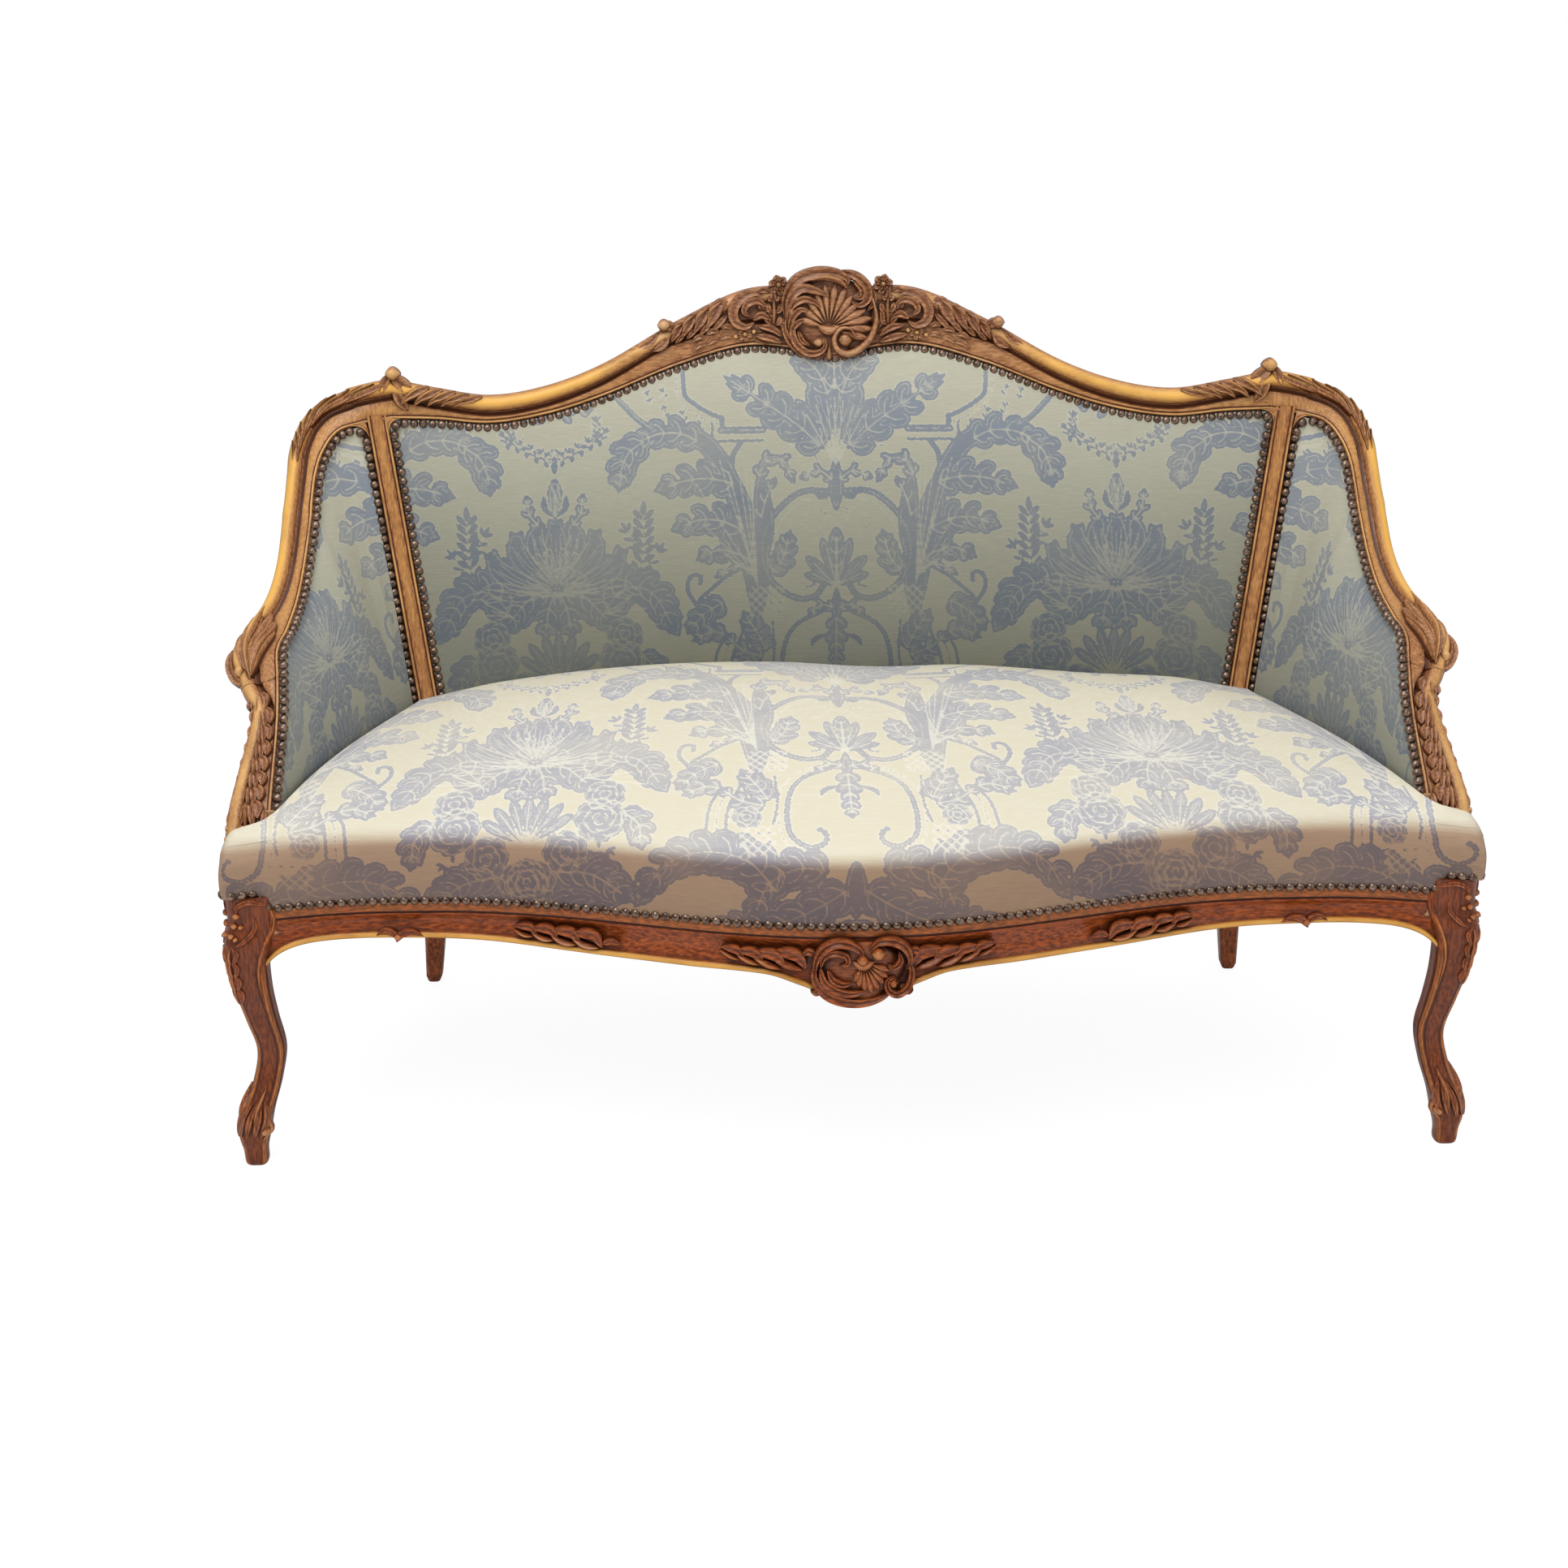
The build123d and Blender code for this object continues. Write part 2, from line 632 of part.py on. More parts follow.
def arm_layer(back, front):
    """A layer of the arm upholstery from the post round to the arm support."""
    shares = arm_places() + [share for share in support_places() if arm_joint < share < pad_front]
    return loft([arm_section(share, back, front) for share in shares], ruled=True)


def seat_rear(place):
    """Rear edge of the seat: the back's foot, round the posts, the arm's foot, then the support."""
    behind = back_y(place, panel_low_z) + rebate - pad_edge - seat_clear
    if place < rear_post_x - post_width / 2 - seat_notch:
        return behind
    if place > support_side():
        return front_leg_y + leg_block / 2 - 14
    beside = rear_post_y - post_depth / 2 - seat_notch
    for (near_x, near_y), (far_x, far_y) in zip(seat_side(), seat_side()[1:]):
        if place < far_x:
            share = max(0.0, (place - near_x) / (far_x - near_x))
            return min(beside, lerp(near_y, far_y, share))
    return seat_side()[-1][1]


def seat_side(inset=0.0):
    """Corners of the seat's side in plan, which runs along the foot of the arm upholstery."""
    return [foot_point(share, seat_inward + inset) for share in spaced(0, 1, seat_side_facets)]


def support_side():
    """How far out the seat runs beside an arm support."""
    return min(arm_edge(share)[0].X for share in support_places()) - seat_notch


def seat_section(x, inset, sink):
    """Section of the seat at one place along its width: skirt, swelling front, lip and crown."""
    face, rear = front_line(x) + inset, seat_rear(abs(x) + inset) - inset
    share = min(1.0, abs(x) / front_leg_x)
    rear_z = lerp(seat_back_z, lip_z + 8, share**2) - inset
    lip = lip_z - 8 * share**4 - inset
    low, deck = skirt_low(x), rail_top + pad_gap - sink
    recess = front_line(x) + fabric_rebate - pad_gap + sink
    crown = seat_crown * (seat_rear(abs(x)) - front_line(x)) / (seat_rear(0) - front_line(0))
    top = ((face + rear) / 2, (lip + rear_z) / 2 + crown)
    swell = (face - front_swell, lerp(low, lip, 0.6))
    under = [(rear, rear_z), (rear, deck), (recess, deck), (recess, low - sink)]
    if sink:
        under.append((face, low - sink))
    under.append((face, low))
    front = faceted((face, low), swell, (face + 10, lip), 5)
    crowned = faceted((face + 10, lip), top, (rear, rear_z), 8)
    return Plane.YZ.offset(x) * make_face(Polyline(*under, *front, *crowned[:-1], close=True))


def seat_body(inset=0.0, sink=0.0):
    """Crowned seat lofted across its width, with its front brought down to the nails."""
    end = front_leg_x + leg_block / 2 - inset
    notches = (rear_post_x - post_width / 2 - seat_notch, support_side())
    steps = [x - inset + half for x in notches for half in (-0.3, 0.3)]
    side = [x for x, _ in seat_side(inset)]
    places = sorted(steps + side + [end] + [x for x in front_places() if x < end])
    places = [-x for x in places[:0:-1]] + places
    return loft([seat_section(x, inset, sink) for x in places], ruled=True)


def spring_row_y(row):
    """Depth of one row of springs."""
    return spring_centre_y + (row - (spring_rows - 1) / 2) * spring_pitch_y


def spring_column_x(column):
    """Place of one column of springs along the seat."""
    return (column - (spring_columns - 1) / 2) * spring_pitch_x


def spring():
    """One hourglass spring: a wire lofted round a waisted helix."""
    steps = spring_turns * 6
    low, high = rail_low + spring_wire / 2 + pad_gap, hessian_z - spring_wire / 2 - pad_gap
    sections = []
    for share in spaced(0, 1, steps):
        angle = 2 * pi * spring_turns * share
        radius = lerp(spring_waist, spring_mouth, (2 * share - 1) ** 2) / 2 - spring_wire / 2
        centre = (radius * cos(angle), radius * sin(angle), lerp(low, high, share))
        plane = Plane(origin=centre, x_dir=(cos(angle), sin(angle), 0), z_dir=(-sin(angle), cos(angle), 0.1))
        sections.append(plane * Rectangle(spring_wire, spring_wire))
    return loft(sections, ruled=True)


def seat_springs():
    """All the springs, in rows along the seat."""
    coil = spring()
    return [Pos(spring_column_x(column), spring_row_y(row), 0) * coil
            for column in range(spring_columns) for row in range(spring_rows)]


def spring_room():
    """Limits of the space among the rails where the springs and their canvas lie."""
    reach = spring_mouth / 2 + 4
    half = spring_column_x(spring_columns - 1) + reach
    return (-half, half), (spring_row_y(0) - reach, spring_row_y(spring_rows - 1) + reach)


def seat_webbing():
    """Straps under the rails: those from front to back on top, the long ones beneath them."""
    half, straps = webbing_width / 2, []
    for column in range(spring_columns):
        x = spring_column_x(column)
        reach = (front_line(x) + apron_thick + 10, rear_rail_y(x) + rear_rail_thick / 2)
        straps.append(block((x - half, x + half), reach, (rail_low - webbing_thick, rail_low)))
    for row in range(spring_rows):
        y = spring_row_y(row)
        reach = side_point((rear_post_y - y) / (rear_post_y - front_leg_y))[0]
        levels = (rail_low - 2 * webbing_thick, rail_low - webbing_thick)
        straps.append(block((-reach, reach), (y - half, y + half), levels))
    return straps


def dust_cover():
    """Thin cloth tacked under the rails, below the webbing."""
    sides = [side_point(share, -8) for share in spaced(0, 0.96, 6)]
    end = sides[-1][0] - 30
    front = [(x, front_line(x) + apron_thick + 6) for x in spaced(end, -end, 24)]
    beside = rear_post_x - post_width / 2 - 3
    rear = [(x, rear_rail_y(x) + rear_rail_thick - 6) for x in spaced(-beside, beside, 12)]
    notches = [(side * beside, sides[0][1]) for side in (-1, 1)]
    left = [(-x, y) for x, y in sides[::-1]]
    outline = Polyline(*sides, *front, *left, notches[0], *rear, notches[1], close=True)
    top = rail_low - 2 * webbing_thick - pad_gap
    return extrude(Pos(0, 0, top - dust_cloth) * make_face(outline), dust_cloth)


def back_webbing():
    """Upright straps on the front of the back frame."""
    straps = []
    for x in back_strap_places:
        sections = []
        edges = (x - webbing_width / 2, x + webbing_width / 2)
        head = corner_z + min(crest_edge(edge)[0] for edge in edges) - 4
        for z in (panel_low_z - 20, head):
            near = [(edge, back_y(edge, z) + rebate - 2 * pad_gap) for edge in edges]
            far = [(edge, y - webbing_thick) for edge, y in near[::-1]]
            sections.append(Pos(0, 0, z) * make_face(Polyline(*near, *far, close=True)))
        straps.append(loft(sections, ruled=True))
    return straps


def outside_arm():
    """Plain cloth stretched over the outside of an arm, from its rail to the side seat rail."""
    sections = []
    for share in arm_places()[1:] + support_places()[1:-4]:
        plane, width = arm_frame(share)
        under = along(arm_form, share)[-1]
        head = plane.from_local_coords(Vector(width - 9, -rail_depth - 1.5, 0))
        foot = Vector(*side_point(max(under, 0.03), side_rail_thick / 2 + pad_gap), rail_top - 14)
        up = head - foot
        section = Plane(origin=foot, x_dir=up, z_dir=up.cross(Vector(1, 0.15, 0)))
        sections.append(section * Pos(up.length / 2, cloth_thick / 2) * Rectangle(up.length, cloth_thick))
    return loft(sections, ruled=True)


# ---- Assembly ----
def save_frame():
    """Build, trim together and write the wooden pieces."""
    crest = crest_rail()
    arm = moulded([crest_frame(corner_x)] + [arm_frame(share) for share in arm_places()])
    support = moulded([arm_frame(share) for share in support_places()])
    below = block((0, front_leg_x + 200), (front_leg_y - 200, rear_post_y), (0, rail_top))
    support = body(support - below)
    front, side, rear = front_rail(), side_rail(), rear_rail()
    leg = body(front_leg() - front - side)
    post = body(rear_post() - crest - arm - side - rear)
    pegs = joint_pegs()
    for peg in pegs:
        leg, post, front, rear = leg - peg, post - peg, front - peg, rear - peg
    other_leg, other_post = mirror(leg, about=Plane.YZ), mirror(post, about=Plane.YZ)
    front = body(front - leg - other_leg)
    lower = body(back_lower_rail() - post - other_post)
    uprights = [body(back_upright(x) - crest - lower) for x in (-upright_place, upright_place)]
    save("crest_rail", crest)
    save_pair("arm_rail", arm)
    save_pair("arm_support", support)
    save_pair("front_leg", leg)
    save_pair("rear_post", post)
    save("front_rail", front)
    save_pair("side_rail", side)
    save("rear_rail", rear)
    save("back_lower_rail", lower)
    save("back_uprights", Compound(uprights))
    save_pair("arm_stay_rail", body(arm_stay_rail() - post - support))
    save("seat_brace", body(seat_brace() - front - rear))
    for name, blank in zip(("front_corner_block", "rear_corner_block"), corner_block_blanks()):
        save_pair(name, body(blank - front - side - rear - leg - post))
    save("joint_pegs", Compound(pegs))


def save_seat():
    """Build and write the sprung seat."""
    along_x, along_y = spring_room()
    room = block(along_x, along_y, (rail_low, hessian_z + canvas_thick + pad_gap))
    save("seat_cover", seat_body() - seat_body(cover_thick, 12.0))
    save("seat_stuffing", seat_body(cover_thick + pad_gap) - room)
    save("seat_canvas", block(along_x, along_y, (hessian_z, hessian_z + canvas_thick)))
    save("seat_springs", Compound(seat_springs()))
    save("seat_webbing", Compound(seat_webbing()))
    save("dust_cover", dust_cover())


def save_panels():
    """Build and write the upholstery of the back and arms, from the frame out to the fabric."""
    canvas = webbing_thick + 3 * pad_gap
    filling = canvas + canvas_thick + pad_gap
    cover = pad_edge - cloth_thick
    behind = rebate - rail_depth - pad_margin
    save("back_webbing", Compound(back_webbing()))
    save("back_canvas", back_layer((canvas, 0.0), (canvas + canvas_thick, 0.0)))
    save("back_stuffing", back_layer((filling, 0.0), (cover - pad_gap, 0.97)))
    save("back_cover", back_layer((cover, 0.98), (pad_edge, 1.0)))
    save("outside_back", back_layer((behind - cloth_thick, 0.0), (behind, 0.0), 8.0, -12.0))
    save_pair("arm_stuffing", arm_layer((pad_gap, 0.0), (cover - pad_gap, 0.97)))
    save_pair("arm_cover", arm_layer((cover, 0.98), (pad_edge, 1.0)))
    save_pair("outside_arm", outside_arm())


def main():
    """Build and write every sub-part."""
    save_frame()
    save_seat()
    save_panels()


if __name__ == "__main__":
    main()
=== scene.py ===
"""Looks of the cabriole sofa: carved, part-gilt walnut round a sprung seat and back in nailed damask.

Shapes are worked out in millimetres in the plan of the CAD (X right, Y back, Z up) as whole numpy
arrays, and become metres in one place, `to_scene`. Right-hand pieces are drawn and then mirrored.
"""
from __future__ import annotations

import logging
import math
from dataclasses import dataclass, field, replace
from enum import Enum
from typing import Callable, Iterator, Sequence

import bpy
import numpy as np
from mathutils import Matrix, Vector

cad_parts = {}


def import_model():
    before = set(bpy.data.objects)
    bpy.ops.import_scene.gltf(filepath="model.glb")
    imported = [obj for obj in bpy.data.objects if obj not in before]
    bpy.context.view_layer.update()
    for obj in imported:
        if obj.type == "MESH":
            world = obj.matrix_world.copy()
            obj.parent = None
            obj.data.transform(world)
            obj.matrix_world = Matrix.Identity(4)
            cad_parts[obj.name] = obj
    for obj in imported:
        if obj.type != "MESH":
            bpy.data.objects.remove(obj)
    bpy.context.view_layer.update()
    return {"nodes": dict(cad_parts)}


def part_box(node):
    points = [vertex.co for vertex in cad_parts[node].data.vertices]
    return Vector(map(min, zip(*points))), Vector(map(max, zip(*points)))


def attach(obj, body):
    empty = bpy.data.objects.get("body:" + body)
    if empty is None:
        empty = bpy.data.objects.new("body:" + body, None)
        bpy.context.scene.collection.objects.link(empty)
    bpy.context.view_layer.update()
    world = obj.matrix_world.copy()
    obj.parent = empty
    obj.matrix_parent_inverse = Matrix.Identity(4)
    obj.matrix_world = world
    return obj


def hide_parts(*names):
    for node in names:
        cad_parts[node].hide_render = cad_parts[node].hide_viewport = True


LOG = logging.getLogger("sofa")

# ---- Plan and heights, as in the CAD (mm) ----
MIDDLE_Y = -9.7
LEG_X, LEG_Y, LEG_BLOCK = 695.0, -262.0, 54.0
POST_X, POST_Y = 544.0, 219.0
RAIL_LOW, RAIL_TOP, NAIL_LINE, LIP_Z = 275.0, 352.0, 318.0, 400.0
PANEL_LOW, ARM_Z, CORNER_Z, CORNER_X = 430.0, 567.0, 799.0, 576.0
BACK_FRONT, BACK_BOW, POST_SPLAY = 206.0, 50.0, 52.0
RAKE = math.radians(8.3)
RAIL_DEPTH, ROLL, COVE, REBATE = 27.0, 21.0, 7.0, 9.0
POST_BAND, ARM_JOINT, PAD_FRONT, SUPPORT_END = 25.0, 0.61, 0.80, 0.945
NAIL_PITCH, NAIL_WIDTH = 12.0, 12.0
UP_FACE = np.array([0.0, math.sin(RAKE), math.cos(RAKE)])
OUT_FACE = np.array([0.0, -math.cos(RAKE), math.sin(RAKE)])

# Half of the crest: distance from the middle, rise of the inner edge, width up the face.
CREST_FORM = [
    (0, 69, 84), (105, 83, 74), (200, 60, 58), (300, 22, 42), (375, 0, 37), (450, -10, 36.5),
    (520, -3, 41), (576, 0, 51),
]
# The arm: share of the way to the leg, flare, height, width as X, Y, Z, share of the pad's foot.
ARM_FORM = [
    (-0.075, 81.5, 0.978, 12, 19, 46, 0.00), (-0.048, 106, 0.948, 29, 25, 33, 0.03),
    (0.000, 116, 0.862, 38, 21, 18, 0.07), (0.054, 116, 0.750, 38, 18, 6, 0.11),
    (0.106, 111, 0.608, 39, 17, -1, 0.16), (0.143, 105, 0.530, 40, 18, -2, 0.20),
    (0.222, 98, 0.310, 40, 16, -6, 0.31), (0.326, 85, 0.160, 45, 13, -6, 0.44),
    (0.455, 69, 0.060, 57, 8, -8, 0.59), (0.548, 59, 0.000, 60, 5, -14, 0.70),
    (0.610, 46, -0.120, 48, 4, -14, 0.77), (0.660, 36, -0.255, 34, 2, -6, 0.83),
    (0.720, 26, -0.400, 37, 1, -7, 0.88), (0.790, 15, -0.545, 44, 0, -8, 0.93),
    (0.875, 1, -0.710, 51, 0, -8, 0.98), (0.925, -7, -0.880, 53, 0, -8, 1.00),
    (0.945, -9, -1.120, 53, 0, -8, 1.00),
]
# Half of the apron: distance from the middle and depth below the seat rails' underside.
APRON_FORM = [
    (0, 44), (35, 39), (65, 28), (105, 16), (200, 13.5), (320, 11), (440, 4), (560, 1), (615, 1.5),
    (640, 4), (658, 9), (672, 17), (683, 29), (690, 41), (700, 52),
]
# Front leg: share of the height, lean along the diagonal, width.
LEG_FORM = [
    (0.00, 14, 27), (0.07, 14.5, 28), (0.14, 14, 36), (0.24, 9, 37), (0.36, -2, 34),
    (0.50, -8.5, 33.5), (0.66, -1.5, 37), (0.80, 4.5, 42), (0.95, 7, 48), (1.0, 5, 54),
]
# Height of the seat along its back edge: distance from the middle (right positive) and height.
SEAT_REAR = [
    (-722, 404), (-671, 419), (-600, 428), (-556, 433), (-529, 438), (-442, 453), (-269, 467),
    (-91, 468), (55, 459), (174, 461), (338, 451), (458, 447), (530, 436), (600, 427), (671, 418),
    (722, 404),
]


# ---- Arithmetic on whole arrays ----
def to_scene(points: np.ndarray) -> np.ndarray:
    """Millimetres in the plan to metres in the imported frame."""
    moved = np.asarray(points, float) * 0.001
    moved[..., 1] -= MIDDLE_Y * 0.001
    return moved


def lerp(start, end, share):
    """Point a share of the way from one value to another."""
    return start + (end - start) * share


def along(rows: Sequence[Sequence[float]], places) -> np.ndarray:
    """Values between the rows of a table on a smooth cubic through them.

    Args:
        rows: the table; its first column is the place.
        places: the places wanted, in any shape.

    Returns:
        An array of the places' shape with one more axis for the table's other columns.
    """
    table = np.asarray(rows, float)
    wanted = np.clip(np.asarray(places, float), table[0, 0], table[-1, 0])
    flat = wanted.reshape(-1)
    index = np.clip(np.searchsorted(table[:, 0], flat, side="right") - 1, 0, len(table) - 2)
    low, high = table[index], table[index + 1]
    before, after = table[np.maximum(index - 1, 0)], table[np.minimum(index + 2, len(table) - 1)]
    span = high[:, :1] - low[:, :1]
    t = (flat[:, None] - low[:, :1]) / span
    leave = (high - before) / (high[:, :1] - before[:, :1]) * span
    arrive = (after - low) / (after[:, :1] - low[:, :1]) * span
    ends = low * (2 * t**3 - 3 * t**2 + 1) + high * (3 * t**2 - 2 * t**3)
    found = ends + leave * (t**3 - 2 * t**2 + t) + arrive * (t**3 - t**2)
    return found[:, 1:].reshape(*wanted.shape, -1)


def spline(points, count: int) -> np.ndarray:
    """Evenly spaced points on a smooth line through the given ones, in two or three dimensions."""
    knots = np.asarray(points, float)
    steps = np.linalg.norm(np.diff(knots, axis=0), axis=1)
    place = np.concatenate([[0.0], np.cumsum(np.maximum(steps, 1e-6))])
    return along(np.column_stack([place, knots]), np.linspace(0, place[-1], count))


def run_length(points: np.ndarray) -> np.ndarray:
    """Distance gone along the first axis of a line, or of a grid, of points."""
    steps = np.linalg.norm(np.diff(points, axis=0), axis=-1)
    return np.concatenate([np.zeros_like(steps[:1]), np.cumsum(steps, axis=0)])

def resampled(line: np.ndarray, pitch: float) -> np.ndarray:
    """Points at an even pitch along a polyline."""
    place = run_length(line)
    at = np.linspace(0, place[-1], max(2, int(round(place[-1] / pitch)) + 1))
    return np.stack([np.interp(at, place, line[:, k]) for k in range(line.shape[1])], axis=1)

def unit(vectors: np.ndarray) -> np.ndarray:
    """Vectors of length one in the same directions."""
    return vectors / np.maximum(np.linalg.norm(vectors, axis=-1, keepdims=True), 1e-9)


def smooth(low: float, high: float, values) -> np.ndarray:
    """0 below low, 1 above high and a smooth step between them."""
    t = np.clip((np.asarray(values, float) - low) / (high - low), 0, 1)
    return t * t * (3 - 2 * t)


def srgb(code: str) -> tuple[float, float, float, float]:
    """A colour as seen on a screen, in hex, to the linear values that shaders take."""
    parts = [int(code[i : i + 2], 16) / 255 for i in (0, 2, 4)]
    return (*[p / 12.92 if p <= 0.04045 else ((p + 0.055) / 1.055) ** 2.4 for p in parts], 1.0)


def drawn_rows(rows: str) -> Iterator[tuple[str, list[float], list[tuple[float, ...]]]]:
    """Read rows of text that say what to draw; a row that starts with # is a comment.

    Args:
        rows: on each a word, its sizes, a colon, and points in pairs, all in millimetres.

    Yields:
        The word, the sizes and the points.
    """
    for row in rows.strip().splitlines():
        if not row.startswith("#"):
            head, line = row.split(":")
            word, *sizes = head.split()
            points = [tuple(float(k) for k in pair.split()) for pair in line.split(",")]
            yield word, [float(size) if "." in size else int(size) for size in sizes], points

# ---- Lines that several pieces share ----
def front_curve(x) -> np.ndarray:
    """Depth of the serpentine front: a cosine swelling in the middle and a flare at each leg."""
    reach = np.abs(np.asarray(x, float))
    swell = np.where(reach < 500, 0.5 * (1 + np.cos(math.pi * reach / 500)), 0.0)
    return -257 - 105 * swell - 28 * np.maximum(0, (reach - 540) / (LEG_X - 540)) ** 2


def skirt_low(x) -> np.ndarray:
    """Lower edge of the nailed fabric, which steps up over the knees."""
    return NAIL_LINE + 1 + 19 * smooth(0, 1, (np.abs(x) - LEG_X + 29) / 24)


def back_y(x, z) -> np.ndarray:
    """Depth of the back frame's front face, bowed in plan and leaning back."""
    return BACK_FRONT + math.tan(RAKE) * (z - PANEL_LOW) + BACK_BOW * (1 - (x / 570.0) ** 2)


def post_x(z) -> np.ndarray:
    """Centre of a rear post above the seat."""
    return POST_X + POST_SPLAY * (z - PANEL_LOW) / (CORNER_Z - PANEL_LOW)


def foot_point(share, inward: float = 0.0) -> tuple[np.ndarray, np.ndarray]:
    """Foot of the arm upholstery in plan, from the post (0) to the arm support (1)."""
    swell = 17 * np.sin(math.pi * np.maximum(share, 0))
    return lerp(559.5, 671.0, share) + swell - inward, lerp(200.0, -206.0, share)


def side_point(share, outward: float = 0.0) -> tuple[np.ndarray, np.ndarray]:
    """Centre line of a side rail in plan, from the rear post (0) to the front leg (1)."""
    return lerp(548.0, 695.0, share) + 22 * np.sin(math.pi * share) + outward, lerp(200.0, -235.0, share)


def crest_edge(x) -> tuple[np.ndarray, np.ndarray]:
    """Height of the crest rail's inner edge and its width up the face."""
    found = along(CREST_FORM, np.abs(x))
    return CORNER_Z + found[..., 0], found[..., 1]


# ---- Meshes ----
@dataclass
class Draft:
    """One mesh while it is drawn, from surfaces given as grids of points.

    Every point carries three marks for the finish: patina (0 deep in a recess, 1 on a rubbed
    high place), gilding (0 to 1) and warmth (0 to 1, towards the red of the seat rails).
    """

    name: str
    points: list[np.ndarray] = field(default_factory=list)
    marks: list[np.ndarray] = field(default_factory=list)
    quads: list[np.ndarray] = field(default_factory=list)
    triangles: list[np.ndarray] = field(default_factory=list)
    size: int = 0

    def grid(self, points, marks=(0.6, 0.0, 0.0), outward=None, closed=False, capped=False) -> None:
        """Add a surface.

        Args:
            points: rows by columns by 3, in millimetres.
            marks: the finish marks, in any shape that spreads over the grid.
            outward: direction the surface faces; left out, it faces away from each row's middle.
            closed: each row is a loop.
            capped: the first and last rows are closed with fans.
        """
        rows, columns = points.shape[:2]
        index = np.arange(rows * columns).reshape(rows, columns)
        here, beside = (index, np.roll(index, -1, 1)) if closed else (index[:, :-1], index[:, 1:])
        quads = np.stack([here[:-1], here[1:], beside[1:], beside[:-1]], -1)
        flat = points.reshape(-1, 3)
        corner = flat[quads]
        normal = np.cross(corner[..., 2, :] - corner[..., 0, :], corner[..., 3, :] - corner[..., 1, :])
        if outward is None:
            toward = corner.mean(2) - points[:-1].mean(1)[:, None]
        else:
            toward = np.broadcast_to(np.asarray(outward, float), normal.shape)
        flip = float((normal * toward).sum()) < 0
        quads = quads.reshape(-1, 4)
        colours = np.broadcast_to(np.asarray(marks, float), (rows, columns, 3)).reshape(-1, 3)
        self.quads.append((quads[:, ::-1] if flip else quads) + self.size)
        self.points.append(flat)
        self.marks.append(colours)
        if capped:
            for ring, way in ((index[0], 1), (index[-1], -1)):
                hub = len(flat) + (0 if way == 1 else 1)
                fan = np.stack([ring, np.roll(ring, -1), np.full_like(ring, hub)], -1)
                fan = fan[:, ::-1] if (way == -1) != flip else fan
                self.triangles.append(fan + self.size)
                self.points.append(flat[ring].mean(0, keepdims=True))
                self.marks.append(colours[ring].mean(0, keepdims=True))
            self.size += 2
        self.size += rows * columns

    def mirrored(self, name: str) -> Draft:
        """The same mesh reflected across the sofa's middle plane."""
        twin = Draft(name, [p * (-1, 1, 1) for p in self.points], list(self.marks), size=self.size)
        twin.quads = [q[:, ::-1] for q in self.quads]
        twin.triangles = [t[:, ::-1] for t in self.triangles]
        return twin

    def build(self, material: bpy.types.Material, sharp: float = 42.0,
              layer: str = "finish") -> bpy.types.Object:
        """Make the Blender object, smooth but for edges sharper than the given angle."""
        faces = np.concatenate(self.quads).tolist()
        faces += np.concatenate(self.triangles).tolist() if self.triangles else []
        mesh = bpy.data.meshes.new(self.name)
        mesh.from_pydata(to_scene(np.concatenate(self.points)).tolist(), [], faces)
        marks = np.concatenate(self.marks)
        colours = mesh.color_attributes.new(layer, "FLOAT_COLOR", "POINT")
        colours.data.foreach_set("color", np.column_stack([marks, np.ones(len(marks))]).ravel())
        mesh.polygons.foreach_set("use_smooth", np.ones(len(mesh.polygons), bool))
        mesh.set_sharp_from_angle(angle=math.radians(sharp))
        mesh.materials.append(material)
        made = bpy.data.objects.new(self.name, mesh)
        bpy.context.scene.collection.objects.link(made)
        LOG.info("%s: %d faces", self.name, len(faces))
        return made


def shown(draft: Draft, material, slot: str, replaced: Sequence[str] = (), **options) -> bpy.types.Object:
    """Build a piece, fix it to the frame and let it stand for the CAD nodes that it covers."""
    made = draft.build(material, **options)
    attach(made, "root")
    if replaced:
        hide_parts(*replaced)
    return made


# ---- Finishes ----
# Settings that many nodes share: a mix of colours, and a range mapped with a smooth step.
MIXED, SMOOTH = {"data_type": "RGBA"}, {"interpolation_type": "SMOOTHSTEP"}

@dataclass
class Shader:
    """A node tree of a material, or of the world, built one node at a time."""

    name: str
    world: bool = False

    def __post_init__(self) -> None:
        """Start with an empty tree."""
        self.made = (bpy.data.worlds if self.world else bpy.data.materials).new(self.name)
        self.made.use_nodes = True
        self.tree = self.made.node_tree
        self.tree.nodes.clear()

    def add(self, kind: str, inputs: dict | Sequence = (), out: int | str | None = None, **settings):
        """Add a node with its settings and links.

        Args:
            kind: its type, without the ShaderNode in front.
            inputs: values, or sockets to link, by the inputs' names or numbers or in their order.
            out: name or number of the output that is wanted.
            settings: the node's own settings.

        Returns:
            The wanted output, or the node itself where none is wanted.
        """
        node = self.tree.nodes.new("ShaderNode" + kind)
        for key, value in settings.items():
            setattr(node, key, value)
        for key, value in (inputs if isinstance(inputs, dict) else dict(enumerate(inputs))).items():
            if isinstance(value, bpy.types.NodeSocket):
                self.tree.links.new(value, node.inputs[key])
            else:
                node.inputs[key].default_value = value
        return node if out is None else node.outputs[out]

    def finish(self, surface: bpy.types.NodeSocket) -> bpy.types.ID:
        """Close the tree with its output."""
        self.add("OutputWorld" if self.world else "OutputMaterial", {"Surface": surface})
        return self.made

